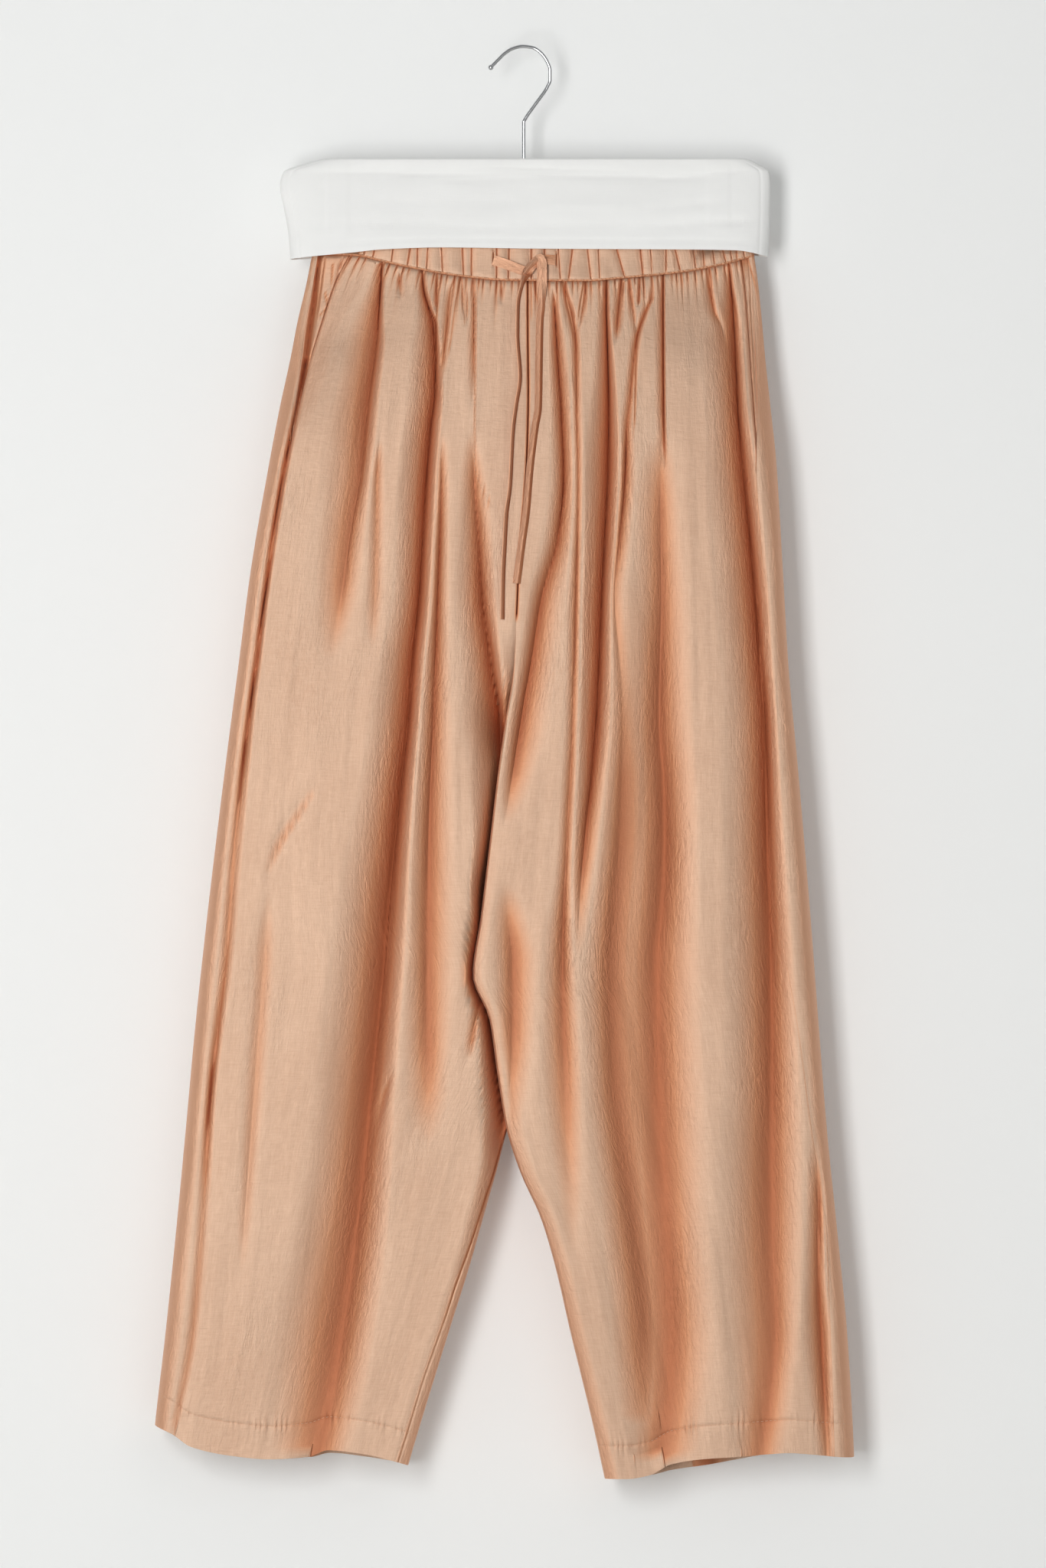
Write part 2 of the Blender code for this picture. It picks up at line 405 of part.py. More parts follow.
def level_at(panel, level, x):
    """Height of a section at x: the top one follows the waist seam, the lowest one the hem."""
    face, side = panel.split("_")
    seam = column(WAIST_SEAM, "z", x, key="x") - TOP_LEVEL
    hem = column(HEMS[side], face, x, key="x") - HEM_LEVEL
    at_top = ease(1 - (TOP_LEVEL - level) / TOP_FADE)
    at_hem = ease(1 - (level - HEM_LEVEL) / HEM_FADE)
    return level + seam * at_top + hem * at_hem


def tuck_knots(panel):
    """Shares of the panel's width at which its gathers have their valleys and crests."""
    rolled = [ROLL * (k / 4) ** 2 for k in range(5)]
    if panel.startswith("front"):
        top = INNER_EDGES[panel][0].x
        mouth = mouth_line(panel.split("_")[1], OUTLINE[0].z)
        valleys = [((tuck.x - top) / (mouth - top), tuck.depth, tuck.length) for tuck in TUCKS[panel]]
    else:
        valleys = []
        for k in range(BACK_TUCKS):
            place = (k + 0.3 * math.sin(2.4 * k + 1.0)) / (BACK_TUCKS - 1)
            share = BACK_FIRST_TUCK + BACK_TUCK_SPREAD * place
            valleys.append((share, 2.2 + 0.8 * math.sin(1.7 * k), 34 + 14 * math.sin(3.1 * k)))
    knots = [(share, 0.0, 20.0) for share in rolled]
    last = ROLL
    for share, depth, length in valleys:
        knots.append(((last + share) / 2, TUCK_CREST * depth, length))
        knots.append((share, -depth, length))
        last = share
    knots.append(((1 + last) / 2, 0.5, 20.0))
    knots.append((1.0, 0.0, 20.0))
    return knots


def tuck_rise(panel, share, below):
    """Gathers of a panel, by the share of its width and the distance below the waist seam."""
    knots = tuck_knots(panel)
    shares = [knot[0] for knot in knots]
    rise = smooth(shares, [knot[1] for knot in knots], share)
    length = smooth(shares, [knot[2] for knot in knots], share)
    return rise * ease(below / TUCK_START) * np.exp(-((below / (TUCK_SOFTNESS * length)) ** 2))


def grid_points(panel, face, levels, x_of, share_of=None):
    """Points of a panel's grid on one face, one row for each level, before any roll."""
    rows = []
    for level in levels:
        z = np.full_like(x_of(level), level)
        for _ in range(3):
            x = x_of(z)
            z = level_at(panel, level, x)
        name = face + "_" + panel.split("_")[1]
        y = wall(name, x, z)
        if share_of is not None:
            below = column(WAIST_SEAM, "z", x, key="x") - z
            outward = -1 if face == "front" else 1
            y = y + outward * tuck_rise(name, share_of(x, z), below)
        rows.append(np.stack([x, y, z], axis=1))
    return np.array(rows)


def roll_inner_edge(panel, points, shares):
    """Turn the columns near the inner edge round to it, as a quarter of an ellipse."""
    inner = INNER_EDGES[panel]
    z = points[:, :, 2]
    turned = column(inner, "y", z)
    amount = np.clip(np.abs(turned - column(inner, "near", z)) / 2.0, 0.0, 1.0)
    share = np.clip(shares / ROLL, 0.0, 1.0)
    arc = np.sqrt(1 - (1 - share) ** 2)
    rolled = turned + (points[:, :, 1] - turned) * arc
    points[:, :, 1] += (rolled - points[:, :, 1]) * amount * (share < 1)
    return points


def pull_in(points, sides):
    """Draw edges of a grid back along the cloth, which leaves the gap of a seam."""
    for side in sides:
        half = (INNER_GAP if side == "first" else SEAM_GAP) / 2
        edge, beside = {
            "first": (points[:, 0], points[:, 1]), "last": (points[:, -1], points[:, -2]),
            "top": (points[0], points[1]), "foot": (points[-1], points[-2]),
        }[side]
        along = beside - edge
        edge += along / np.linalg.norm(along, axis=1, keepdims=True) * half
    return points


def front_panel(side):
    """Points of one front, from the centre seam or inner leg out to the pocket mouth and side seam."""
    panel = "front_" + side
    shares = np.array([knot[0] for knot in tuck_knots(panel)])

    def x_of(z):
        near = column(INNER_EDGES[panel], "x", z)
        return near + (mouth_line(side, z) - near) * shares

    points = grid_points(panel, "front", LEVELS, x_of, lambda x, z: shares)
    return pull_in(roll_inner_edge(panel, points, shares), ("first", "last", "top"))


def back_panel(side):
    """Points of one back, from its inner edge round the side to the seam on the front."""
    panel = "back_" + side
    shares = np.array([knot[0] for knot in tuck_knots(panel)])
    wrap_steps = np.array(WRAP_STEPS)
    round_steps = np.array(ROUND_STEPS)

    def x_back(z):
        near = column(INNER_EDGES[panel], "x", z)
        edge = column(OUTLINE, side + "_edge", z)
        rim = edge + np.sign(near - edge) * WRAP_BACK
        return near + (rim - near) * shares

    def x_round(z):
        edge = column(OUTLINE, side + "_edge", z)
        return edge + np.sign(WAIST_MIDDLE - edge) * WRAP_BACK * round_steps**2

    def x_wrap(z):
        edge = column(OUTLINE, side + "_edge", z)
        seam = column(OUTLINE, side + "_seam", z)
        return edge + (seam - edge) * wrap_steps**2

    def x_edge(z):
        return column(OUTLINE, side + "_edge", z) + np.zeros(1)

    back = roll_inner_edge(panel, grid_points(panel, "back", LEVELS, x_back, lambda x, z: shares), shares)
    around = grid_points(panel, "back", LEVELS, x_round)
    edge = grid_points(panel, "back", LEVELS, x_edge)
    edge[:, :, 1] = 0.0
    wrap = grid_points("front_" + side, "front", LEVELS, x_wrap)
    points = np.concatenate([back, around, edge, wrap], axis=1)
    return pull_in(points, ("first", "last", "top"))


def pocket_facing(side):
    """Points of a pocket's facing, behind the front along its slanted mouth."""
    panel = "front_" + side
    inward = 1 if side == "left" else -1
    steps = np.linspace(0.0, 1.0, FACING_COLUMNS)

    def share_of(x, z):
        near = column(INNER_EDGES[panel], "x", z)
        return np.clip((x - near) / (mouth_line(side, z) - near), 0.0, 1.0)

    def x_of(z):
        mouth = mouth_line(side, z)
        seam = column(OUTLINE, side + "_seam", z) + inward * (0.3 + 1.5 * ease((-270 - z) / 30))
        return mouth + inward * FACING_UNDER * (1 - steps) + (seam - mouth) * steps

    points = grid_points(panel, "front", FACING_LEVELS, x_of, share_of)
    x, z = points[:, :, 0], points[:, :, 2]
    mouth = mouth_line(side, z)
    width = np.abs(column(OUTLINE, side + "_seam", z) - mouth)
    beyond = np.clip(inward * (mouth - x) / np.maximum(width, 1.0), 0.0, 1.0)
    points[:, :, 1] += SHIFT * (1 - ease(beyond) * np.clip((width - 4) / 8, 0.0, 1.0))
    return pull_in(points, ("last", "top"))


def band_panel(face):
    """Points of the front or the back of the gathered waistband."""
    outward = -1 if face == "front" else 1
    left, right = OUTLINE[0].left_edge, OUTLINE[0].right_edge
    if face == "front":
        valleys = BAND_TUCKS
    else:
        spread = right - left - 2 * BAND_END
        valleys = [left + BAND_END + spread * (k + 0.3 * math.sin(2.2 * k)) / (BACK_BAND_TUCKS - 1)
                   for k in range(BACK_BAND_TUCKS)]
    knots = [(left + step, 0.0) for step in BAND_ROUNDING]
    for a, b in zip(valleys, valleys[1:]):
        knots += [(a, -BAND_TUCK_DEPTH), ((a + b) / 2, 0.3 * BAND_TUCK_DEPTH)]
    knots.append((valleys[-1], -BAND_TUCK_DEPTH))
    knots += [(right - step, 0.0) for step in BAND_ROUNDING]
    knots = sorted(knots)
    knot_x = np.array([knot[0] for knot in knots])
    tuck = np.array([knot[1] for knot in knots])
    middle = (left + right) / 2
    across = np.clip(np.abs(knot_x - middle) / BAND_SAG_REACH, 0.0, 1.0)
    top = BAND_TOP - BAND_RISE * (1 - across**2)
    half_width = (right - left) / 2
    rows = []
    for share in BAND_ROWS:
        x = knot_x
        for _ in range(3):
            seam = column(WAIST_SEAM, "z", x, key="x")
            z = seam + (top - seam) * share
            at_left, at_right = column(OUTLINE, "left_edge", z), column(OUTLINE, "right_edge", z)
            edge = np.where(knot_x < middle, middle - at_left, at_right - middle)
            x = middle + (knot_x - middle) * edge / half_width
        side_left = half_depth(face, "left", x, z)
        side_right = half_depth(face, "right", x, z)
        depth = np.where(x < WAIST_MIDDLE, side_left, side_right)
        pinch = np.zeros_like(x)
        for centre in CLIP_CENTRES.values():
            pinch = np.maximum(pinch, ease((PINCH_WIDTH - np.abs(x - centre)) / PINCH_SIDE_FADE))
        pinch = pinch * ease((z - top + PINCH_HEIGHT) / PINCH_FOOT_FADE)
        depth = depth + (PINCH_DEPTH - depth) * np.where(depth > PINCH_DEPTH, pinch, 0.0)
        depth = depth + tuck * min(1.0, share / BAND_ROWS[1]) * (1 - pinch)
        rows.append(np.stack([x, outward * depth, z], axis=1))
    return pull_in(np.array(rows), ("first", "last", "top"))


def sheet_object(name, points, thickness, flip=False):
    """Cloth through a grid of points: an open surface with Solidify."""
    rows, columns = points.shape[:2]
    mesh = bpy.data.meshes.new(name)
    quads = []
    for i in range(rows - 1):
        for j in range(columns - 1):
            a = i * columns + j
            quad = (a, a + 1, a + columns + 1, a + columns)
            quads.append(quad[::-1] if flip else quad)
    mesh.from_pydata([Vector(p) * MM for p in points.reshape(-1, 3)], [], quads)
    piece = bpy.data.objects.new(name, mesh)
    collection.objects.link(piece)
    shell = piece.modifiers.new("Cloth", "SOLIDIFY")
    shell.thickness = thickness * MM
    shell.offset = 0.0
    shell.use_even_offset = True
    shell.use_rim = True
    mesh.shade_smooth()
    return piece


def paint(piece, name, colour, roughness, metallic=0.0):
    """Give a piece its own material."""
    material = bpy.data.materials.new(name)
    material.use_nodes = True
    shader = material.node_tree.nodes["Principled BSDF"]
    shader.inputs["Base Color"].default_value = (*colour, 1.0)
    shader.inputs["Roughness"].default_value = roughness
    shader.inputs["Metallic"].default_value = metallic
    piece.data.materials.append(material)
    return piece


def tape_points(name, steps):
    """Left and right edge of a length of drawstring tape, just in front of the cloth."""
    route = TAPES[name]
    count = (len(route) - 1) * steps + 1
    place = np.linspace(0, len(route) - 1, count)
    knots = np.arange(len(route))
    x = smooth(knots, [p.x for p in route], place)
    z = smooth(knots, [p.z for p in route], place)
    lift = smooth(knots, [p.lift for p in route], place)
    turn = np.radians(smooth(knots, [p.turn for p in route], place))
    along_x, along_z = np.gradient(x), np.gradient(z)
    size = np.hypot(along_x, along_z)
    across_x, across_z = along_z / size, -along_x / size
    cloth = np.full(count, 0.0)
    for reach in (-5.0, 0.0, 5.0):
        side = np.where(x + reach < column(INNER_EDGES["front_right"], "x", z), 0, 1)
        left = wall("front_left", x + reach, z)
        right = wall("front_right", x + reach, z)
        cloth = np.minimum(cloth, np.where(side == 0, left, right))
    y = cloth - CLOTH / 2 - lift
    y = np.convolve(np.pad(y, 2, mode="edge"), np.ones(5) / 5, mode="valid")
    half = TAPE_WIDTH / 2
    wide, deep = half * np.cos(turn), half * np.sin(turn)
    first = np.stack([x + across_x * wide, y + deep, z + across_z * wide], axis=1)
    second = np.stack([x - across_x * wide, y - deep, z - across_z * wide], axis=1)
    return np.stack([first, second], axis=1)


def make_tape(name):
    """One length of the drawstring, as a thin strip of doubled cloth."""
    steps = TAPE_STEPS if name.endswith("tail") else 1
    return sheet_object(name, tape_points(name, steps), TAPE_THICK)


def make_hook():
    """Bent chrome wire with a ball at its tip."""
    curve = bpy.data.curves.new("hanger_hook", "CURVE")
    curve.dimensions = "3D"
    curve.bevel_depth = WIRE / 2 * MM
    curve.bevel_resolution = 2
    curve.use_fill_caps = True
    spline = curve.splines.new("POLY")
    spline.points.add(len(HOOK) - 1)
    for point, place in zip(spline.points, HOOK):
        point.co = (place.x * MM, 0.0, place.z * MM, 1.0)
    wire = bpy.data.objects.new("hook_wire", curve)
    collection.objects.link(wire)
    mesh = bpy.data.meshes.new_from_object(wire.evaluated_get(bpy.context.evaluated_depsgraph_get()))
    bpy.data.objects.remove(wire)
    form = bmesh.new()
    form.from_mesh(mesh)
    bmesh.ops.remove_doubles(form, verts=form.verts, dist=0.00001)
    form.to_mesh(mesh)
    form.free()
    mesh.name = "hanger_hook"
    piece = bpy.data.objects.new("hanger_hook", mesh)
    collection.objects.link(piece)

    ball = bpy.data.meshes.new("hook_tip")
    form = bmesh.new()
    tip = Vector((HOOK[0].x, 0.0, HOOK[0].z)) * MM
    bmesh.ops.create_uvsphere(form, u_segments=12, v_segments=8, radius=HOOK_TIP / 2 * MM,
                              matrix=Matrix.Translation(tip))
    form.to_mesh(ball)
    form.free()
    tip_ball = bpy.data.objects.new("hook_tip", ball)
    cutters.objects.link(tip_ball)
    tip_ball.hide_render = True
    tip_ball.display_type = "WIRE"
    join = piece.modifiers.new("Ball", "BOOLEAN")
    join.operation = "UNION"
    join.object = tip_ball
    mesh.shade_smooth()
    return piece


def flat_outline(name, corners, half_width, turn):
    """A flat outline given thickness, turned upright."""
    curve = bpy.data.curves.new(name, "CURVE")
    curve.dimensions = "2D"
    curve.fill_mode = "BOTH"
    curve.extrude = half_width * MM
    spline = curve.splines.new("POLY")
    spline.use_cyclic_u = True
    spline.points.add(len(corners) - 1)
    for point, (across, up) in zip(spline.points, corners):
        point.co = (across * MM, up * MM, 0.0, 1.0)
    flat = bpy.data.objects.new(name + "_outline", curve)
    collection.objects.link(flat)
    mesh = bpy.data.meshes.new_from_object(flat.evaluated_get(bpy.context.evaluated_depsgraph_get()))
    bpy.data.objects.remove(flat)
    form = bmesh.new()
    form.from_mesh(mesh)
    bmesh.ops.remove_doubles(form, verts=form.verts, dist=0.00001)
    bmesh.ops.recalc_face_normals(form, faces=form.faces)
    form.to_mesh(mesh)
    form.free()
    mesh.transform(turn)
    piece = bpy.data.objects.new(name, mesh)
    collection.objects.link(piece)
    return piece


def make_bar():
    """Plain bar under the cover, with its upper corners cut off."""
    foot = BAR_TOP - BAR_HEIGHT
    corners = [
        (BAR_LEFT, foot), (BAR_RIGHT, foot), (BAR_RIGHT, BAR_TOP - BAR_CHAMFER),
        (BAR_RIGHT - 2 * BAR_CHAMFER, BAR_TOP), (BAR_LEFT + 2 * BAR_CHAMFER, BAR_TOP),
        (BAR_LEFT, BAR_TOP - BAR_CHAMFER),
    ]
    upright = Matrix.Rotation(math.radians(90), 4, "X")
    piece = flat_outline("hanger_bar", corners, BAR_DEPTH / 2 - BAR_EDGE, upright)
    edges = piece.modifiers.new("Edges", "BEVEL")
    edges.width = BAR_EDGE * MM
    edges.segments = 1
    return piece


def make_clip(name, centre):
    """Steel strap folded over the bar, whose two jaws close on the waistband."""
    inner = BAR_DEPTH / 2 + 0.3
    outer = inner + CLIP_STEEL
    roof = BAR_TOP + 0.3
    below = BAR_TOP - BAR_HEIGHT - 3.0
    jaw = 3.3
    right = [
        (outer, roof + 0.2), (outer, below), (jaw + CLIP_STEEL, below - 9.0), (jaw + CLIP_STEEL, CLIP_FOOT),
        (jaw, CLIP_FOOT), (jaw, below - 9.4), (inner, below - 0.5), (inner, roof),
    ]
    left = [(-y, z) for y, z in reversed(right)]
    roof_outer = roof + 0.8
    corners = [(outer - 0.8, roof_outer)] + right + left + [(-(outer - 0.8), roof_outer)]
    turn = Matrix.Translation((centre * MM, 0.0, 0.0)) @ Matrix.Rotation(math.radians(90), 4, "Z")
    turn = turn @ Matrix.Rotation(math.radians(90), 4, "X")
    return flat_outline(name, corners, CLIP_WIDTH / 2, turn)


def make_cover():
    """Cotton sleeve over the hanger: rings from its open hem up to the hole for the hook."""
    angles = np.linspace(0, 2 * math.pi, COVER_SIDES, endpoint=False)
    rings = []
    for i, ring in enumerate(COVER_RINGS):
        middle, half = (ring.left + ring.right) / 2, (ring.right - ring.left) / 2
        cos, sin = np.cos(angles), np.sin(angles)
        x = middle + half * np.sign(cos) * np.abs(cos) ** 0.9
        across = np.abs(x - middle) / half
        y = ring.half_depth * np.sign(np.round(sin, 6)) * np.sqrt(np.maximum(1 - across**16, 0.0))
        z = np.full(COVER_SIDES, ring.z)
        if i == 0:
            z = column(COVER_HEM, "z", x, key="x")
        rings.append(np.stack([x, y, z], axis=1))
    hole = HOOK[-1].x
    rings.append(np.stack([hole + HOOK_HOLE * np.cos(angles), HOOK_HOLE * np.sin(angles),
                           np.full(COVER_SIDES, COVER_RINGS[-1].z)], axis=1))
    mesh = bpy.data.meshes.new("hanger_cover")
    quads = []
    for i in range(len(rings) - 1):
        for j in range(COVER_SIDES):
            k = (j + 1) % COVER_SIDES
            quads.append((i * COVER_SIDES + j, (i + 1) * COVER_SIDES + j,
                          (i + 1) * COVER_SIDES + k, i * COVER_SIDES + k))
    mesh.from_pydata([Vector(p) * MM for p in np.concatenate(rings)], [], quads)
    piece = bpy.data.objects.new("hanger_cover", mesh)
    collection.objects.link(piece)
    shell = piece.modifiers.new("Cloth", "SOLIDIFY")
    shell.thickness = COVER_CLOTH * MM
    shell.offset = 0.0
    shell.use_even_offset = True
    mesh.shade_smooth()
    return piece


for old in list(bpy.data.objects):
    bpy.data.objects.remove(old)
collection = bpy.data.collections.new("maxi_trousers")
bpy.context.scene.collection.children.link(collection)
cutters = bpy.data.collections.new("cutters")
bpy.context.scene.collection.children.link(cutters)

SATIN = (0.62, 0.36, 0.22)
COTTON = (0.80, 0.80, 0.78)
CHROME = (0.62, 0.62, 0.63)

for side in ("left", "right"):
    mirrored = side == "right"
    front = sheet_object("trouser_front_" + side, front_panel(side), CLOTH, flip=mirrored)
    paint(front, "front_" + side + "_satin", SATIN, 0.42)
    back = sheet_object("trouser_back_" + side, back_panel(side), CLOTH, flip=not mirrored)
    paint(back, "back_" + side + "_satin", SATIN, 0.42)
    facing = sheet_object("pocket_facing_" + side, pocket_facing(side), CLOTH, flip=mirrored)
    paint(facing, "facing_" + side + "_satin", SATIN, 0.42)

for face in ("front", "back"):
    band = sheet_object("waistband_" + face, band_panel(face), BAND_CLOTH, flip=face == "back")
    paint(band, "waistband_" + face + "_satin", SATIN, 0.42)

for tape_name in TAPES:
    paint(make_tape(tape_name), tape_name + "_satin", SATIN, 0.42)

paint(make_hook(), "hook_chrome", CHROME, 0.12, 1.0)
paint(make_bar(), "bar_lacquer", (0.55, 0.55, 0.54), 0.40)
for clip_name, clip_centre in CLIP_CENTRES.items():
    paint(make_clip(clip_name, clip_centre), clip_name + "_steel", CHROME, 0.25, 1.0)
paint(make_cover(), "cover_cotton", COTTON, 0.85)
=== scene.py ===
# %% [markdown]
# # Wide maxi trousers hanging from a covered clip hanger
# The trousers are cut from a light crinkled satin. They are gathered into an elastic waistband with a
# flat drawstring, and they hang by that band from a clip hanger whose bar and clips are hidden by a
# white cotton cover. The packed model gives the hanger, the clips and the true size; this script hangs
# fine cloth on the same form, so every sheet here is worked out from the same named sections and folds.

# %% Load the packed model
import math
from collections import namedtuple

import bpy
import numpy as np
from mathutils import Matrix, Vector


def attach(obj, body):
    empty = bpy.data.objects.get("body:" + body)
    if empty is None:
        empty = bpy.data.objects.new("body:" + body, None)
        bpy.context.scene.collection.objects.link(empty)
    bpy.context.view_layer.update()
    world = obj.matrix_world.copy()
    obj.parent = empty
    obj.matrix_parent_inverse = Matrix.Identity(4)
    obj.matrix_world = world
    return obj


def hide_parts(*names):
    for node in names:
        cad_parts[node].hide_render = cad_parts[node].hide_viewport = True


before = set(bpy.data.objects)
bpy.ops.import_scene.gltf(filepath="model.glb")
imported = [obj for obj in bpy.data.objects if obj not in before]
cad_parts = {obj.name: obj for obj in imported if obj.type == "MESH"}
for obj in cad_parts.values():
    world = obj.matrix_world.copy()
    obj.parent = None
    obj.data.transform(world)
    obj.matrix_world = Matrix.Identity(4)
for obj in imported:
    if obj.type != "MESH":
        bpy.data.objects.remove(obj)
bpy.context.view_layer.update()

MM = 0.001
bpy.ops.object.select_all(action="DESELECT")
print("nodes:", sorted(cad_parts))

# %% [markdown]
# ## The picture's view
# The trousers were photographed straight on. A long lens far away keeps both hems level, and its
# field of view is worked out from the height of cloth that the picture takes in.

# %% Camera
PIXEL_MM = 0.62                  # one pixel of the picture, at the hook's plane
PICTURE_HEIGHT = 2048
HOOK_PIXEL = (683, 63)           # where the hook's inside top is in the picture
CAMERA_AWAY = 8.0
SENSOR = 36.0


def add_object(name, data):
    """A new object in the scene, at the origin."""
    made = bpy.data.objects.new(name, data)
    bpy.context.scene.collection.objects.link(made)
    return made


middle_z = -(PICTURE_HEIGHT / 2 - HOOK_PIXEL[1]) * PIXEL_MM * MM
camera = add_object("camera", bpy.data.cameras.new("camera"))
camera.data.sensor_width = SENSOR
camera.data.lens = SENSOR * CAMERA_AWAY / (PICTURE_HEIGHT * PIXEL_MM * MM)
camera.location = (0.0, -CAMERA_AWAY, middle_z)
camera.rotation_euler = (math.radians(90), 0.0, 0.0)
bpy.context.scene.camera = camera
bpy.context.scene.view_settings.view_transform = "Standard"
print("lens %.1f mm, aimed at z = %.3f" % (camera.data.lens, middle_z))

# %% [markdown]
# ## Shader maths
# A pattern is easier to read as a sum of noises than as a drawing of nodes. Value wraps one socket, so
# `0.5 * slub + crinkle` adds the Math nodes, and Finish.node makes any other node.

# %% Shader values
class Value:
    """One socket of a material, on which Python's operators add Math nodes."""

    def __init__(self, finish, socket):
        self.finish = finish
        self.socket = socket

    def math(self, operation, *others):
        values = {k: other for k, other in enumerate((self, *others))}
        return self.finish.node("ShaderNodeMath", {"operation": operation}, values)

    def __add__(self, other):
        return self.math("ADD", other)

    def __sub__(self, other):
        return self.math("SUBTRACT", other)

    def __mul__(self, other):
        return self.math("MULTIPLY", other)

    def __rsub__(self, other):
        return self.finish.node("ShaderNodeMath", {"operation": "SUBTRACT"}, {0: other, 1: self})

    __radd__ = __add__
    __rmul__ = __mul__


print("a Value knows", [name for name in vars(Value) if name.startswith("__r") or name == "math"])

# %% Materials
class Finish:
    """A material: a Principled shader, its constants, and the nodes that vary over the surface."""

    def __init__(self, name, **constants):
        self.material = bpy.data.materials.new(name)
        self.material.use_nodes = True
        self.tree = self.material.node_tree
        self.shader = self.tree.nodes["Principled BSDF"]
        for socket, value in constants.items():
            self.shader.inputs[socket.replace("_", " ")].default_value = value

    def node(self, kind, settings=None, values=None, output=0):
        made = self.tree.nodes.new(kind)
        for name, setting in (settings or {}).items():
            setattr(made, name, setting)
        for key, value in (values or {}).items():
            if isinstance(value, Value):
                self.tree.links.new(value.socket, made.inputs[key])
            else:
                made.inputs[key].default_value = value
        return Value(self, made.outputs[output])

    def surface(self, socket, value):
        self.tree.links.new(value.socket, self.shader.inputs[socket])

    def uv(self):
        return self.node("ShaderNodeUVMap", {"uv_map": "cloth"})

    def object_place(self):
        return self.node("ShaderNodeTexCoord", output="Object")

    def attribute(self, name):
        return self.node("ShaderNodeAttribute", {"attribute_name": name}, output=2)

    def spread(self, value, low, high, least=0.0, most=1.0):
        """least where the value is low, most where it is high, and even steps between them."""
        return self.node("ShaderNodeMapRange", None, {0: value, 1: low, 2: high, 3: least, 4: most})

    def noise(self, place, scale, detail=2.0, roughness=0.5, distortion=0.0):
        stretched = self.node("ShaderNodeMapping", None, {"Vector": place, "Scale": scale})
        values = {"Vector": stretched, "Scale": 1.0, "Detail": detail, "Roughness": roughness,
                  "Distortion": distortion}
        return self.node("ShaderNodeTexNoise", None, values)

    def blend(self, share, first, second):
        values = {0: share, 6: first, 7: second}
        return self.node("ShaderNodeMix", {"data_type": "RGBA"}, values, output=2)

    def bump(self, height):
        values = {"Height": height, "Distance": 1.0, "Strength": 1.0}
        self.surface("Normal", self.node("ShaderNodeBump", None, values))


def hexa(red, green, blue):
    """An 8-bit colour as the linear colour that a shader takes."""
    linear = [(c / 255 / 12.92) if c / 255 <= 0.04045 else ((c / 255 + 0.055) / 1.055) ** 2.4
              for c in (red, green, blue)]
    return (*linear, 1.0)


def paint(pieces, material):
    """Give some pieces one material and no other."""
    for piece in pieces:
        piece.data.materials.clear()
        piece.data.materials.append(material)


print("mid grey is %.3f in linear light" % hexa(128, 128, 128)[0])

# %% [markdown]
# ## The trousers' measurements
# Lengths are millimetres, with the hook's inside top as zero. What was read off the photograph row by
# row stays in picture pixels in its table, and from_picture makes it millimetres. Outline gives the
# edges and seams at each height, Depth how thick the hanging form is, and Inner where the centre seam
# and the inside legs run.

# %% Tables
ZERO_PIXEL = {"x": HOOK_PIXEL[0], "top": HOOK_PIXEL[0], "foot": HOOK_PIXEL[0], "z": HOOK_PIXEL[1],
              "left": 0, "right": 0}


def named(kind, table):
    """Plain rows of numbers, in lists or by name, as rows with named columns."""
    if isinstance(table, dict):
        return {name: named(kind, part) for name, part in table.items()}
    return [named(kind, part) for part in table] if isinstance(table, list) else kind(*table)


def from_picture(kind, table):
    """The same for rows in picture pixels: heights, places and half widths become millimetres."""
    def in_mm(*values):
        return kind(*[round((value - ZERO_PIXEL[name]) * (-PIXEL_MM if name == "z" else PIXEL_MM), 1)
                      if name in ZERO_PIXEL else value for name, value in zip(kind._fields, values)])
    return named(in_mm, table)


# Outline from the front: outer edges, side seams, and how far inside them the pocket mouths lie
Outline = namedtuple("Outline", "z left_edge left_seam left_mouth right_mouth right_seam right_edge")
OUTLINE = named(Outline, [
    (-160, -169, -165, 30, 7.5, 181.5, 185.5), (-191, -175, -170, 18.5, 6.5, 185, 190),
    (-221, -182, -175.5, 14, 5.5, 186.5, 193), (-252, -188, -179.5, 8.5, 5, 188, 195.8),
    (-291, -196.5, -184.5, 4, 3.5, 189, 200), (-333, -204.5, -189, 0, 0, 188.5, 204.5),
    (-423, -220, -203, 0, 0, 194, 210), (-500, -230, -214.5, 0, 0, 198.5, 214.5),
    (-581, -240.5, -222, 0, 0, 202, 222), (-705, -255.5, -235.5, 0, 0, 208.5, 232.5),
    (-798, -265.5, -246, 0, 0, 223, 239.5), (-874, -272.5, -252.5, 0, 0, 233, 245.5),
    (-958, -280.5, -260.5, 0, 0, 245, 254), (-1040, -289, -267, 0, 0, 248.5, 262),
    (-1114, -297.5, -281, 0, 0, 251, 266.5), (-1160, -302, -288, 0, 0, 252.5, 268.5),
])

# Depth of the flat part of the front and back, and how square the section is
Depth = namedtuple("Depth", "z front back power root")
DEPTHS = named(Depth, [
    (-130, 9.4, 9.4, 2, 1), (-169, 10.9, 10.9, 2, 1), (-221, 16.4, 15.4, 3, 0.8), (-277, 20.4, 18.4, 10, 0.6),
    (-333, 23.4, 20.4, 34, 0.5), (-423, 24.6, 24, 60, 0.5), (-500, 25.4, 25.4, 60, 0.5),
    (-643, 26.4, 26.4, 60, 0.5), (-874, 24.4, 24.4, 60, 0.5), (-1040, 22.4, 22.4, 60, 0.5),
    (-1160, 21.4, 21.4, 60, 0.5),
])
WAIST_MIDDLE = 8.25      # x of the middle of the waist
print("outline read over %.0f mm of height" % (OUTLINE[0].z - OUTLINE[-1].z))

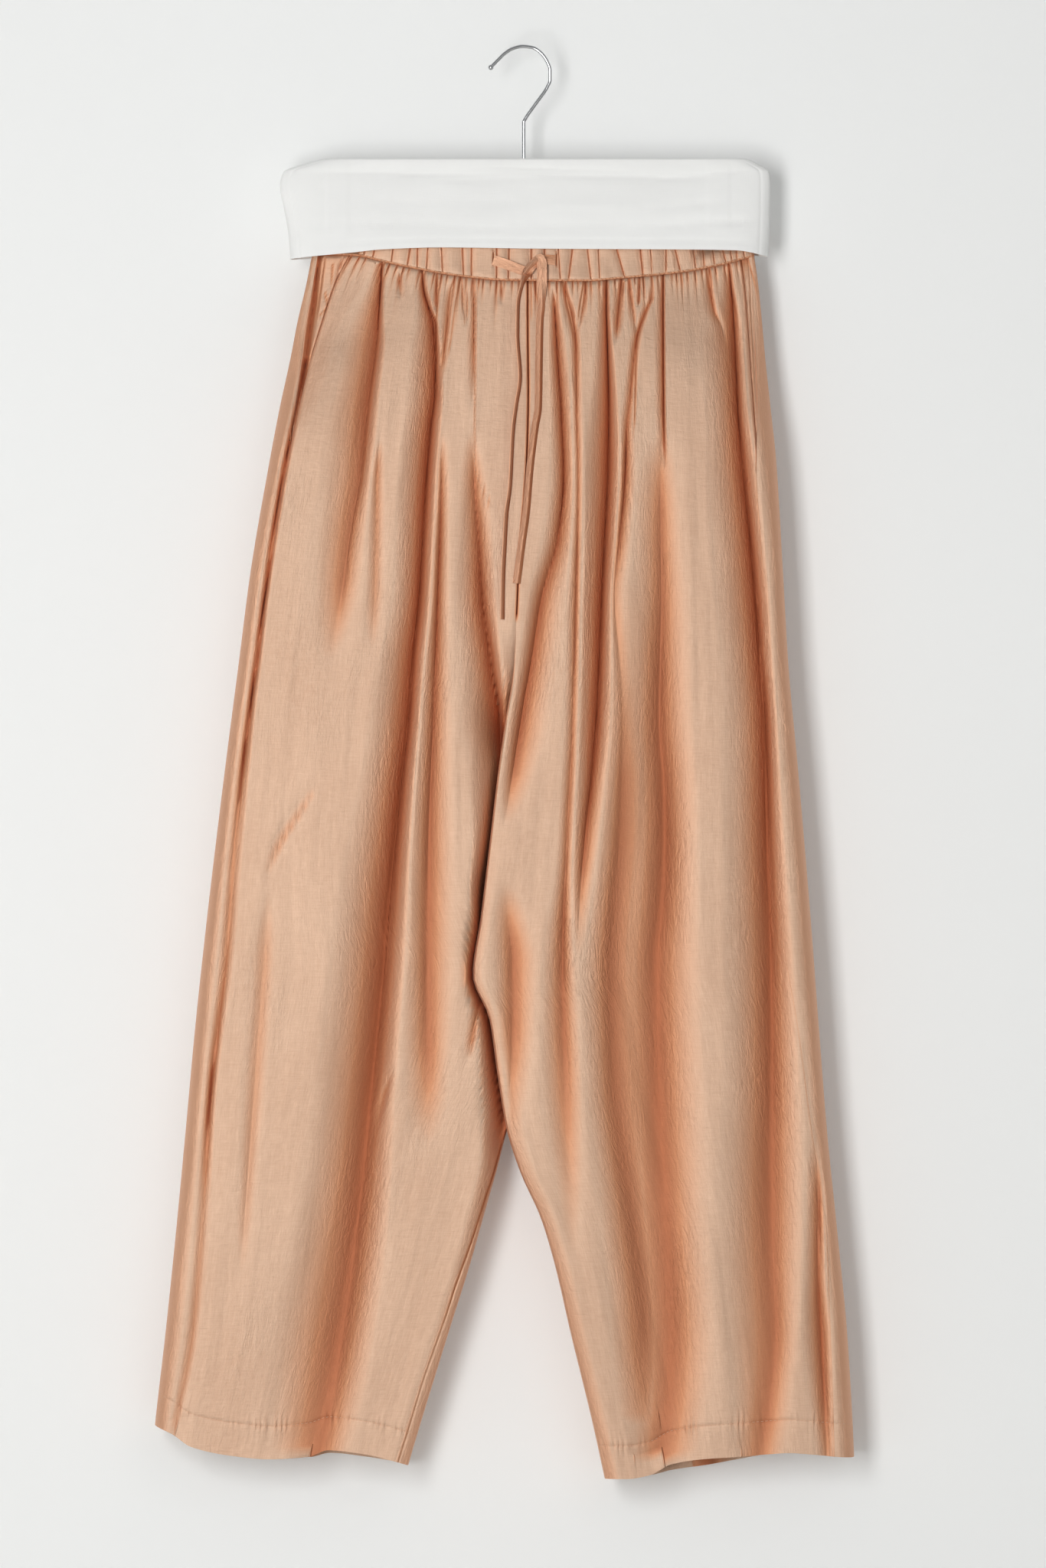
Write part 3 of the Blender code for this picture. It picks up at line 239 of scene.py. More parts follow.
# %% Inner edges
# near is the depth that a panel has just before it rolls round to its inner edge, and flat is how far
# from the edge the panel keeps that depth, where one leg lies behind the other.
Inner = namedtuple("Inner", "z x y near flat", defaults=[0.0])
INNER_EDGES = named(Inner, {
    "front_right": [
        (-160, 3.7, -13, -13), (-221, 3.8, -18.8, -18.8), (-277, 4.3, -23, -23), (-333, 3, -26, -26),
        (-423, -3.5, -27.5, -27.5), (-461, -5.2, -28, -28), (-500, -6.8, -27.5, -28.5), (-540, -13, -26, -29),
        (-581, -19, -24, -29), (-643, -26.5, -20, -28), (-705, -34, -17, -27), (-750, -40.3, -15.2, -26),
        (-785, -27, -13, -25), (-829, -20.5, -12, -24), (-874, -13, -11, -23), (-909, -2, -10.2, -22.2),
        (-947, 14.9, -9.4, -21.4), (-984, 26, -8.6, -20.6), (-1040, 39, -8, -20), (-1114, 57, -7, -19),
        (-1160, 67, -6, -18)],
    "front_left": [
        (-160, 3.7, -13, -13), (-221, 3.8, -18.8, -18.8), (-277, 4.3, -23, -23), (-333, 3, -26, -26),
        (-423, -3.5, -27.5, -27.5), (-461, -5.2, -28, -28), (-500, -6.8, -23, -23), (-540, -13, -18, -18),
        (-581, -13, -15, -15, 6), (-643, -10, -10, -10, 15), (-674, -6, -2, -2, 24), (-705, 6, 4, 3, 38),
        (-750, 30, 10.6, 4, 68), (-785, 23, 13, 3, 50), (-829, 9, 12, 2, 30), (-874, -12.4, 11, -1, 6),
        (-909, -21.8, 10.2, -14), (-947, -32.6, 10, -19.5), (-984, -43, 9.6, -20.8), (-1040, -60.6, 9, -21),
        (-1114, -83.4, 8, -20.5), (-1160, -97, 8, -20)],
    "back_left": [
        (-160, 3.7, 13, 13), (-221, 3.8, 18, 18), (-277, 4.5, 21, 21), (-333, 5, 23, 23), (-423, 7, 26, 26),
        (-461, 8.5, 27, 27), (-500, 10, 27, 28), (-540, 13, 26, 29), (-581, 16, 24, 29), (-643, 20, 20, 28),
        (-705, 26, 17, 27), (-750, 30, 13.4, 25), (-785, 23, 13, 25), (-829, 9, 12, 24),
        (-874, -12.4, 11, 23), (-909, -21.8, 10.2, 22.2), (-947, -32.6, 10, 22), (-984, -43, 9.6, 21.6),
        (-1040, -60.6, 9, 21), (-1114, -83.4, 8, 20), (-1160, -97, 8, 19)],
    "back_right": [
        (-160, 3.7, 13, 13), (-221, 3.8, 18, 18), (-277, 4.5, 21, 21), (-333, 5, 23, 23), (-423, 7, 26, 26),
        (-461, 8.5, 27, 27), (-500, 10, 23, 23), (-540, 13, 18, 18), (-581, 11, 12, 12, 8),
        (-643, 4, 2, 2, 21), (-674, -5, -3, -3, 31), (-705, -15, -6, -4, 45), (-750, -40.3, -12.4, -5, 74),
        (-785, -27, -13, -4, 56), (-829, -20.5, -12, -3, 41), (-874, -13, -11, -2, 23),
        (-909, -2, -10.2, -1, 6), (-947, 14.9, -9.4, 1), (-984, 26, -8.6, 2), (-1040, 39, -8, 4),
        (-1114, 57, -7, 6), (-1160, 67, -6, 7)],
})

# How far from that inner edge, or from its flat part, the panel is full again
Reach = namedtuple("Reach", "z width")
REACHES = named(Reach, [
    (-160, 34), (-500, 32), (-544, 30), (-643, 17), (-742, 9), (-800, 12), (-841, 15), (-1160, 13),
])
print("inner edges:", {panel: len(rows) for panel, rows in INNER_EDGES.items()})

# %% Waist seam and hems
# The waist seam dips in the middle; each hem has its own line on the front and on the back
WaistSeam = namedtuple("WaistSeam", "x z")
WAIST_SEAM = named(WaistSeam, [
    (-170, -167), (-137, -167.8), (-113, -173), (-91, -178), (-51, -185), (-14, -188.5), (50, -189),
    (81, -186.6), (128, -181.7), (158, -176), (186, -168.6),
])
Hem = namedtuple("Hem", "x front back")
HEMS = named(Hem, {
    "left": [
        (-298, -1114, -1114), (-283, -1121, -1121), (-268, -1131, -1131), (-237, -1138, -1136),
        (-205, -1141, -1139), (-173, -1139, -1142), (-157, -1134, -1139), (-128, -1137, -1142),
        (-103, -1143, -1146), (-90, -1147, -1148)],
    "right": [
        (64, -1157, -1157), (83, -1157, -1156), (102, -1154, -1157), (120, -1145, -1153), (145, -1141, -1149),
        (175, -1139, -1144), (200, -1137, -1139), (215, -1136, -1135), (231, -1137, -1136),
        (252, -1139, -1139), (268, -1140, -1140)],
})
TOP_LEVEL = -189.0       # the sections' heights run from here
HEM_LEVEL = -1140.0      # to here, and
TOP_FADE = 75.0          # the dip of the waist seam has died out this far down
HEM_FADE = 100.0         # and the slant of the hem this far up, but not in its lowest part
HEM_LOWEST = 36.0
print("hems %.0f mm and %.0f mm wide" % tuple(abs(rows[-1].x - rows[0].x) for rows in HEMS.values()))

# %% [markdown]
# ## Folds, sharp lines and puckers
# The light on satin shows exactly how steep each side of a fold is, so a fold is a line down the leg with
# its rise and its two half widths at each height. Sharp lines are the edges of sewn pleats and the
# sharpest creases. Puckers are the small gathers right under the waist seam. All of them also get shade
# painted into their colour.

# %% Folds
# rise is how far a ridge stands out (a valley is negative), left and right are its half widths
Fold = namedtuple("Fold", "z x rise left right")
FOLDS = from_picture(Fold, {
    "front_left": [
        # First pleat, beside the pocket
        [(345, 499, -2.5, 14, 4), (370, 498, -5, 22, 5), (400, 496, -7, 40, 6), (430, 494, -8.5, 56, 9),
         (450, 492, -9, 64, 12), (530, 481, -8.6, 66, 15), (620, 472, -6.6, 64, 17), (700, 458, -5, 60, 24),
         (780, 447, -3, 50, 30), (870, 430, 0, 40, 30)],
        # Long valley down the whole leg
        [(350, 551, -2, 8, 6), (375, 553, -4, 12, 7), (402, 560, -6, 18, 7), (425, 566, -8, 26, 8),
         (470, 569, -10, 36, 9), (507, 569, -11, 38, 11), (560, 563, -12, 38, 14), (620, 558, -12.5, 38, 16),
         (700, 553, -12.5, 36, 17), (780, 548, -12.5, 34, 18), (860, 540, -13, 42, 16),
         (940, 534, -13.5, 46, 15), (1020, 525, -13.5, 50, 17), (1100, 517, -13.5, 56, 19),
         (1180, 509, -13.5, 60, 23), (1260, 502, -13, 62, 25), (1420, 486, -12.5, 64, 27),
         (1500, 478, -12, 68, 31), (1580, 469, -12, 72, 35), (1660, 459, -11.5, 80, 37),
         (1740, 447, -11, 84, 37), (1820, 433, -8, 80, 38), (1900, 417, -4.5, 70, 38)],
        # Beside it, towards the centre
        [(560, 577, 0, 12, 12), (620, 577, -2.5, 12, 12), (780, 572, -4.5, 14, 16), (940, 566, -5, 20, 26),
         (1100, 560, -5.5, 24, 34), (1260, 558, -5, 28, 36), (1420, 560, -2.5, 36, 30),
         (1500, 560, 0, 36, 30)],
        # From the hips towards the crotch
        [(560, 615, 0, 20, 14), (620, 619, -3, 24, 18), (700, 625, -6, 30, 20), (780, 630, -9, 36, 18),
         (860, 641, -11, 40, 14), (940, 653, -13, 50, 8), (1000, 654, -3, 44, 8), (1040, 650, 0, 44, 10)],
        # Along the side seam
        [(470, 401, -5, 8, 7), (540, 387, -6, 8, 7), (620, 371, -7, 8, 6), (700, 358, -6, 8, 6),
         (780, 347, -5, 8, 6), (860, 337, -4.5, 9, 7), (940, 326, -4, 10, 8), (1100, 308, -2.2, 12, 12),
         (1260, 296, -2.2, 12, 10), (1340, 286, -2.6, 10, 8), (1420, 277, -3.2, 9, 7),
         (1500, 271, -2.6, 9, 8), (1580, 266, -1.5, 10, 10), (1740, 252, -1.6, 10, 9),
         (1860, 229, -1.2, 8, 8)],
        # Drag line across the thigh
        [(1020, 418, 0, 10, 10), (1050, 400, -1.2, 12, 8), (1100, 368, -1.6, 12, 8), (1130, 354, -0.8, 10, 8),
         (1150, 346, 0, 8, 8)],
        # Soft one below it
        [(1150, 352, 0, 14, 14), (1260, 346, -1.6, 20, 16), (1420, 334, -1.6, 16, 14),
         (1580, 322, -1.2, 12, 12), (1680, 315, 0, 12, 12)],
        # Short ones at the knee
        [(1290, 630, 0, 8, 6), (1320, 623, -2.2, 10, 6), (1350, 618, -2.2, 10, 6), (1385, 612, 0, 8, 6)],
        [(1400, 512, 0, 8, 6), (1425, 504, -2, 10, 7), (1450, 498, -1.6, 10, 7), (1475, 492, 0, 8, 6)],
        # Short ones under the waist seam
        [(352, 570, 0, 6, 5), (370, 570, -2.5, 7, 5), (395, 570, -2, 8, 5), (408, 568, 0, 8, 5)],
        [(365, 592, 0, 8, 6), (385, 588, -2, 14, 8), (430, 584, -2.5, 12, 8), (470, 579, -2.5, 10, 8),
         (495, 575, 0, 8, 8)],
        [(358, 603, -1, 5, 5), (385, 604, -1.8, 6, 6), (420, 606, 0, 6, 6)],
        [(365, 618, -1, 6, 5), (400, 619, -2.2, 9, 5), (450, 619, -2.2, 12, 5), (500, 618, -1.2, 12, 6),
         (540, 617, 0, 12, 8)],
        [(372, 610, 0, 4, 4), (400, 610, -1.5, 4, 4), (430, 610, 0, 4, 4)],
        [(362, 654, -1, 6, 5), (380, 655, -2, 10, 5), (400, 655, 0, 10, 6)],
        [(352, 521, 0, 6, 6), (368, 522, -2, 8, 6), (392, 523, 0, 8, 8)],
        [(338, 447, -1, 5, 4), (350, 444, -2, 7, 4), (378, 436, 0, 6, 4)],
        # Beside the first pleat
        [(570, 497, 0, 10, 10), (620, 493, -2.2, 12, 12), (700, 492, -2, 16, 14), (780, 490, -1.8, 18, 16),
         (860, 486, 0, 18, 16)],
    ],
    "front_right": [
        # Beside the drawstring
        [(375, 722, 0, 6, 6), (400, 724, -3, 8, 8), (450, 727, -5.5, 12, 13), (540, 733, -6, 16, 17),
         (620, 736, -6, 18, 17), (700, 729, -6, 20, 26), (780, 707, -6.5, 18, 34), (860, 694, -6.5, 16, 38),
         (940, 680, -6.5, 14, 40), (1020, 668, -3, 14, 34), (1080, 660, 0, 12, 30)],
        # Fine one beside it, down to the knee
        [(350, 733, 0, 5, 5), (375, 737, -2.2, 8, 6), (412, 747, -3, 14, 7), (450, 752, -3, 10, 8),
         (540, 753, -2.2, 9, 9), (620, 755, -2.2, 9, 9), (780, 752, -3, 13, 10), (940, 748, -2.5, 12, 10),
         (1100, 740, -2.5, 12, 10), (1260, 735, -4, 26, 15), (1420, 739, -3, 34, 24), (1580, 746, -1, 24, 18),
         (1660, 748, 0, 20, 18)],
        # Below the crotch
        [(1150, 660, 0, 20, 26), (1200, 665, -2.5, 24, 30), (1260, 670, -4, 28, 34),
         (1340, 670, -3.5, 26, 32), (1420, 668, -2, 10, 28), (1500, 668, 0, 10, 20)],
        # First pleat
        [(340, 792, -1.5, 5, 4), (370, 792, -4, 8, 4), (400, 792, -5.5, 12, 5), (440, 793, -7, 16, 7),
         (480, 794, -8, 20, 10), (540, 795, -10, 28, 13), (620, 794, -12.5, 36, 18),
         (700, 790, -12.5, 36, 19), (780, 786, -12.5, 36, 14), (860, 783, -11, 32, 16),
         (940, 779, -10.5, 28, 18), (1020, 772, -7, 20, 20), (1100, 763, -4.5, 16, 22),
         (1180, 757, -2, 14, 20), (1260, 755, 0, 14, 20)],
        # Second one, down the whole leg
        [(370, 852, 0, 6, 5), (390, 850, -2, 7, 6), (412, 841, -2.5, 9, 7), (440, 832, -3, 10, 8),
         (475, 827, -3, 10, 8), (525, 822, -2.8, 10, 10), (560, 818, -3, 10, 12), (620, 816, -4.5, 12, 16),
         (700, 809, -3.6, 10, 20), (780, 802, -2, 10, 22), (860, 808, -2, 14, 40), (940, 812, -2.4, 16, 58),
         (1020, 811, -3.6, 24, 60), (1100, 808, -5, 30, 62), (1180, 801, -5.5, 34, 60),
         (1260, 796, -5.6, 36, 60), (1420, 802, -5, 38, 60), (1500, 811, -4.5, 40, 56),
         (1580, 823, -4, 44, 50), (1740, 840, -3.4, 48, 46), (1850, 842, -2, 44, 40)],
        # Broad valley in the middle of the leg
        [(560, 864, 0, 40, 30), (620, 863, -2.5, 48, 30), (700, 863, -4.2, 50, 36), (780, 864, -6, 50, 40),
         (860, 862, -8.6, 56, 42), (940, 861, -10.5, 58, 44), (1020, 866, -11.5, 60, 42),
         (1100, 868, -12, 64, 40), (1180, 864, -12, 66, 44), (1260, 857, -11.6, 66, 52),
         (1420, 860, -10.6, 66, 54), (1580, 868, -8.6, 66, 52), (1740, 876, -8, 62, 54),
         (1820, 872, -6, 50, 56), (1900, 862, -3.5, 44, 56)],
        # Sewn pleat
        [(338, 866, -2, 8, 2.5), (400, 866, -3, 12, 2.5), (450, 866, -3, 14, 3), (520, 866, -3, 14, 3),
         (580, 867, -2, 12, 4), (610, 868, 0, 10, 4)],
        # Outer valley down the whole leg
        [(345, 952, -2, 8, 5), (380, 955, -4, 16, 7), (400, 957, -5.5, 24, 9), (450, 960, -8, 42, 13),
         (540, 964, -10, 46, 15), (620, 971, -12, 50, 17), (700, 979, -12, 52, 17), (780, 986, -12, 54, 18),
         (860, 992, -11.5, 50, 16), (940, 999, -11.5, 52, 14), (1020, 1001, -11.5, 52, 16),
         (1100, 1002, -11, 52, 20), (1260, 1006, -10, 52, 27), (1420, 1007, -9.5, 54, 34),
         (1500, 1006, -9, 58, 38), (1580, 1006, -8.5, 62, 38), (1660, 1008, -7, 64, 34),
         (1740, 1012, -6, 64, 26), (1820, 1004, -4, 50, 30), (1900, 992, -3, 40, 34)],
        # Low on the outside, above the hem
        [(1480, 1062, 0, 12, 8), (1580, 1069, -3.2, 18, 8), (1660, 1068, -3.2, 18, 9),
         (1740, 1072, -4.5, 22, 12), (1820, 1076, -3.5, 20, 11), (1900, 1080, -2, 14, 10)],
        # Short ones under the waist seam
        [(350, 767, -1.5, 4, 4), (365, 766, -2, 6, 5), (400, 762, -2, 8, 6), (440, 754, 0, 6, 6)],
        [(352, 813, -1, 5, 5), (380, 810, -3, 9, 8), (420, 806, -3, 10, 10), (450, 804, 0, 8, 8)],
        [(355, 821, 0, 5, 5), (380, 823, -2, 7, 6), (420, 828, -1.5, 7, 6), (440, 830, 0, 6, 6)],
        [(350, 835, 0, 5, 5), (365, 835, -2.5, 5, 4), (392, 834, -2.5, 5, 4), (402, 833, 0, 4, 4)],
        [(350, 924, -1, 6, 5), (382, 928, -2.5, 12, 6), (408, 933, -2.5, 14, 7), (430, 942, -1.5, 12, 8),
         (460, 946, 0, 12, 8)],
    ],
})
FOLDS.update(named(Fold, {
    "back_left": [
        [(-180, -95, -2, 8, 8), (-300, -100, -8, 18, 14), (-600, -125, -11, 28, 18),
         (-900, -150, -10, 30, 20), (-1150, -180, -6, 26, 20)],
        [(-185, -30, -2, 7, 7), (-280, -34, -6, 12, 14), (-450, -45, -9, 18, 18), (-700, -62, -8, 22, 18),
         (-1000, -95, -4, 18, 16), (-1120, -105, 0, 16, 16)],
        [(-175, -135, -2, 6, 6), (-300, -150, -6, 14, 14), (-600, -190, -6, 16, 16),
         (-1000, -225, -5, 18, 14), (-1150, -238, -3, 16, 14)],
        [(-230, -66, 0, 12, 12), (-420, -74, 5, 20, 20), (-800, -95, 6, 24, 24), (-1060, -125, 0, 20, 20)],
    ],
    "back_right": [
        [(-185, 60, -2, 6, 6), (-280, 58, -8, 13, 12), (-450, 62, -12, 22, 18), (-650, 84, -11, 26, 20),
         (-900, 120, -9, 26, 22), (-1150, 150, -6, 24, 22)],
        [(-178, 120, -2, 6, 6), (-300, 122, -7, 14, 12), (-500, 135, -9, 20, 16), (-800, 172, -8, 22, 18),
         (-1150, 205, -5, 20, 16)],
        [(-250, 92, 0, 12, 12), (-420, 96, 5, 18, 18), (-700, 126, 6, 20, 22), (-1000, 160, 4, 20, 20),
         (-1120, 176, 0, 18, 18)],
        [(-200, 24, 0, 8, 8), (-320, 26, -5, 12, 12), (-430, 30, -4, 12, 12), (-520, 34, 0, 12, 12)],
    ],
}))

# Wide hollows with no shape of their own, only shade painted into the colour where the cloth reflects more of
# itself than of the room; rise is how dark that painted shade is
SHADED_HOLLOWS = named(Fold, {
    "front_right": [
        [(-400, 88, 0, 20, 20), (-543.7, 92, 0.22, 30, 36), (-642.9, 92, 0.3, 34, 36),
         (-742.1, 88, 0.36, 34, 38), (-841.3, 92, 0.4, 36, 40), (-940.5, 98, 0.36, 36, 40),
         (-1039.7, 104, 0.3, 36, 40), (-1110, 104, 0, 36, 40)],
    ],
})
print("folds:", {panel: len(folds) for panel, folds in FOLDS.items()})

# %% Sharp lines
# dark is the shade painted along a sharp line, which also sinks the cloth there
Line = namedtuple("Line", "z x dark")
LINES = from_picture(Line, {
    "front_left": [
        [(340, 500, 0.9), (387, 497, 1), (425, 495, 0.7), (450, 494, 0)],
        [(350, 551, 0.9), (387, 555, 1), (410, 564, 1), (425, 570, 1), (470, 570.5, 1), (495, 570.5, 0.8),
         (520, 574, 0)],
        [(358, 571, 0.7), (400, 571, 0.7), (425, 570, 0.3), (432, 570, 0)],
        [(358, 601, 0.5), (400, 595, 0.5), (455, 587, 0.4), (470, 583, 0)],
        [(362, 608, 0.4), (420, 607, 0.3), (430, 607, 0)],
        [(362, 621, 0.35), (608, 620, 0.35), (625, 623, 0.35), (642, 631, 0.4), (658, 639, 0.4),
         (668, 646, 0)],
        [(470, 401, 0), (480, 398, 0.5), (540, 386, 0.8), (620, 371, 0.8), (780, 347, 0.6), (940, 326, 0.5),
         (1100, 308, 0.3), (1260, 295, 0.4), (1420, 277, 0.7), (1500, 271, 0.4), (1580, 266, 0)],
    ],
    "front_right": [
        [(366, 693, 0.6), (410, 694, 0.4), (425, 694, 0)],
        [(368, 697, 0.5), (400, 703, 0.5), (412, 705, 0)],
        [(366, 733, 0.6), (400, 740, 0.6), (447, 750, 0.5), (456, 751, 0)],
        [(362, 763, 0.6), (400, 757, 0.5), (440, 752, 0)],
        [(350, 792, 0.9), (400, 792, 1), (450, 793.5, 1), (520, 795, 0.7), (600, 795, 0)],
        [(350, 866, 1), (450, 866, 1), (520, 866.5, 1), (575, 867, 0.8), (610, 868, 0)],
        [(390, 852, 0.4), (412, 842, 0.6), (450, 831, 0.7), (550, 828, 0.5), (570, 826, 0)],
        [(368, 815, 0.5), (400, 810, 0.5), (440, 805, 0)],
        [(340, 951, 0.9), (375, 955, 0.9), (412, 961, 0.6), (430, 962, 0)],
        [(345, 921, 0.5), (375, 925, 0.6), (400, 931, 0)],
        [(337, 976, 0), (345, 978, 0.7), (365, 984, 0.5), (385, 988, 0.2), (400, 990, 0)],
    ],
})
LINES["front_left"].append(named(Line, [
    (-872, -14.6, 0), (-880, -16.2, 0.85), (-909, -23.8, 0.85), (-928, -30, 0.85), (-965, -41.7, 0.8),
    (-1002, -55, 0.7), (-1021, -61, 0.5), (-1040, -67.6, 0.35), (-1077, -80.6, 0.3), (-1114, -91.8, 0.35),
    (-1150, -103, 0.35),
]))
LINES.update(named(Line, {
    "facing_left": [
        [(-170, -160.2, 0.4), (-178, -161.2, 0.6), (-215, -166.2, 0.4), (-222, -167.4, 0)],
        [(-174, -154, 0.6), (-187, -154.8, 0.5), (-197, -155.6, 0)],
        [(-196, -160.4, 0), (-200, -160, 0.6), (-209, -158.1, 0.6), (-215, -163, 0.5), (-220, -167.4, 0)],
    ],
    "facing_right": [
        [(-168, 186.4, 0.3), (-190, 188.6, 0.3), (-212, 189.8, 0)],
    ],
}))
LINE_WIDTH = 1.5         # half width of a sharp line
LINE_DEPTH = 1.1
print("sharp lines:", {panel: len(lines) for panel, lines in LINES.items()})

# %% Puckers
Tuck = namedtuple("Tuck", "x depth length")
TUCKS = from_picture(Tuck, {
    "front_left": [
        (429, 1, 10), (437, 1.3, 14), (448, 0.9, 8), (459, 1.3, 10), (467, 1.5, 12), (478, 1.5, 10),
        (487, 1, 8), (508, 1, 8), (513, 1.3, 10), (520, 1.5, 14), (530, 1.4, 9), (539, 1.5, 12), (546, 1, 7),
        (560, 1.2, 10), (566, 0.9, 8), (578, 1.2, 12), (587, 1.5, 18), (594, 1, 8), (603, 1.6, 14),
        (610, 1.4, 20), (617, 1, 9), (625, 1.3, 10), (632, 1.4, 8), (637, 1.3, 9), (646, 1, 6),
        (653, 1.7, 14), (662, 0.9, 6), (671, 1.1, 7), (679, 1, 8)],
    "front_right": [
        (699, 1.5, 16), (707, 1, 8), (716, 1.2, 9), (726, 1.6, 12), (731, 1, 8), (737, 1.5, 12),
        (746, 1.2, 8), (753, 1, 7), (762, 1.5, 12), (769, 1.6, 10), (780, 1.4, 11), (786, 0.9, 7),
        (800, 1.2, 9), (808, 1.4, 12), (818, 1.5, 16), (825, 1, 8), (836, 1.8, 14), (847, 1.4, 12),
        (855, 1.1, 8), (873, 1, 7), (879, 1.3, 10), (885, 1.5, 12), (893, 1.3, 9), (903, 1.4, 10),
        (912, 1.2, 8), (922, 1.5, 14), (930, 1.3, 9), (942, 1.5, 10), (958, 1.2, 8), (964, 1.3, 9),
        (970, 1.1, 8)],
})
TUCK_WIDTH = 1.7         # half width of a pucker at the seam
TUCK_PUFF = 0.9          # how far the cloth puffs out between puckers
PUFF_BELOW = 5.0         # this far below the waist seam
TUCK_SUNK = 0.7          # how far its top edge is drawn in under the waist seam, over this height
TUCK_EDGE = 1.6
# The shade under the waist seam and in the puckers is painted into the colour.
SEAM_SHADE = 0.7         # shade right under the waist seam, over this height
SEAM_SHADE_DOWN = 0.9
TUCK_DARK = 0.62         # darkness of a pucker, for each millimetre of its depth
BACK_TUCKS = 16          # on each half of the back, evenly but not exactly spaced
print("puckers:", {panel: len(tucks) for panel, tucks in TUCKS.items()})

# %% [markdown]
# ## Smooth curves through the tables
# A monotone cubic never swings past its points, so an outline read from a few rows stays an outline.

# %% Curves
def smooth(knots, values, places):
    """Monotone cubic curve through the knots, read at the places."""
    order = np.argsort(knots)
    knots = np.asarray(knots, dtype=float)[order]
    values = np.asarray(values, dtype=float)[order]
    step = np.diff(knots)
    slope = np.diff(values) / step
    tangent = np.empty_like(values)
    tangent[0], tangent[-1] = slope[0], slope[-1]
    before, after = slope[:-1], slope[1:]
    total = np.where(before + after == 0, 1.0, before + after)
    tangent[1:-1] = np.where(before * after > 0, 2 * before * after / total, 0.0)
    places = np.clip(places, knots[0], knots[-1])
    cell = np.clip(np.searchsorted(knots, places) - 1, 0, len(step) - 1)
    t = (places - knots[cell]) / step[cell]
    lead_in = (t - 2 * t**2 + t**3) * step[cell] * tangent[cell]
    lead_out = (t**3 - t**2) * step[cell] * tangent[cell + 1]
    rise = 3 * t**2 - 2 * t**3
    return values[cell] * (1 - rise) + values[cell + 1] * rise + lead_in + lead_out


def column(table, name, places, key="z"):
    """One named column of a table, read at the places."""
    return smooth([getattr(row, key) for row in table], [getattr(row, name) for row in table], places)


def between(table, places):
    """Every column of a table, read at places that are counted in rows."""
    return [smooth(np.arange(len(table)), values, places) for values in zip(*table)]


def ease(share):
    """0 to 1 with soft ends."""
    share = np.clip(share, 0.0, 1.0)
    return share * share * (3 - 2 * share)


def dip(distance, width):
    """1 on a line, falling softly to 0 beside it."""
    return np.exp(-((distance / width) ** 2))


def peak(distance, width):
    """1 on a line, falling evenly to 0 at the width."""
    return 1 - np.clip(np.abs(distance) / width, 0.0, 1.0)


def running(points):
    """Length along a row of points, from 0 at the first one."""
    return np.concatenate([[0.0], np.cumsum(np.linalg.norm(np.diff(points, axis=0), axis=1))])


def edge_line(side, z):
    return column(OUTLINE, side + "_edge", z)


def seam_at_side(side, z):
    return column(OUTLINE, side + "_seam", z)


def inner_line(panel, z):
    return column(INNER_EDGES[panel], "x", z)


def mouth_line(side, z):
    """x of a front's outer edge: the slanted pocket mouth, then the side seam."""
    return seam_at_side(side, z) + INWARD[side] * column(OUTLINE, side + "_mouth", z)


INWARD = {"left": 1, "right": -1}
OUTWARD = {"front": -1, "back": 1}
print("waist at the seam: %.0f mm" % (edge_line("right", TOP_LEVEL) - edge_line("left", TOP_LEVEL)))

# %% [markdown]
# ## The shape of a fold
# Satin creases sharply at the bottom of a valley and rounds over between two of them, so a valley is
# steepest at its bottom and a ridge is a plain wave. Lower down, where the cloth hangs free, the
# bottoms are rounder. The same profile sets the shade painted into each valley.

# %% Folds on a panel
VALLEY_SHARPNESS = 2.0    # a valley is steepest at its bottom
Rounding = namedtuple("Rounding", "z share")
VALLEY_ROUNDING = named(Rounding, [
    (-170, 0.035), (-400, 0.06), (-560, 0.14), (-740, 0.26), (-1160, 0.34),
])


def across_fold(fold, x, z):
    """Place across a fold, from -1 to 1 over its two half widths."""
    offset = x - column(fold, "x", z)
    return offset / np.where(offset < 0, column(fold, "left", z), column(fold, "right", z))


def along(line, z):
    """Whether z lies between the two ends of a fold or a line."""
    return (z <= line[0].z) & (z >= line[-1].z)


def fold_profile(fold, x, z):
    """Shape across one fold, from 1 at its line to 0 at its edges: creased valleys, rounded ridges."""
    place = across_fold(fold, x, z)
    if max(row.rise for row in fold) > 0:
        return 0.5 + 0.5 * np.cos(math.pi * np.clip(place, -1, 1))
    rounding = column(VALLEY_ROUNDING, "share", z)
    share = np.sqrt(place**2 + rounding**2) - rounding
    return (1 - np.clip(share, 0, 1)) ** VALLEY_SHARPNESS


def crisp(panel, x, z):
    """0 to 1: the sharp lines of a panel at x and z, which sink the cloth and carry painted shade."""
    total = np.zeros(np.broadcast(x, z).shape)
    for line in LINES.get(panel, []):
        across = peak(x - column(line, "x", z), LINE_WIDTH)
        total = np.maximum(total, np.where(along(line, z), column(line, "dark", z) * across, 0.0))
    return total


def fold_rise(panel, x, z):
    """How far the folds of a panel stand out at x and z."""
    total = np.zeros(np.broadcast(x, z).shape)
    for fold in FOLDS[panel]:
        total = total + np.where(along(fold, z), column(fold, "rise", z) * fold_profile(fold, x, z), 0.0)
    return total - LINE_DEPTH * crisp(panel, x, z)


valley = named(Fold, [(0, 0, -1, 4, 4), (-1000, 0, -1, 4, 4)])
print("a quarter of the way out of a valley, %.2f of its depth is left" %
      fold_profile(valley, np.float64(1.0), -500.0))

# %% Shade painted into the folds
# Shade painted into each valley: how dark a flat one is, and how that grows with its steepness and depth
FOLD_SHADE_BASE = 0.54          # darkness of a flat valley, and how it grows with the steepness
FOLD_SHADE_SLOPE = 0.62
FOLD_SHADE_MOST = 0.86
FOLD_SHADE_FULL = 3.5           # a shallower valley is lighter, in proportion
FOLD_SHADE_NARROW = 1.35        # the darkness keeps closer to the bottom than the depth does
HOLLOW_EDGE = 1.6         # a hollow has its full darkness over this part of its width and fades outside


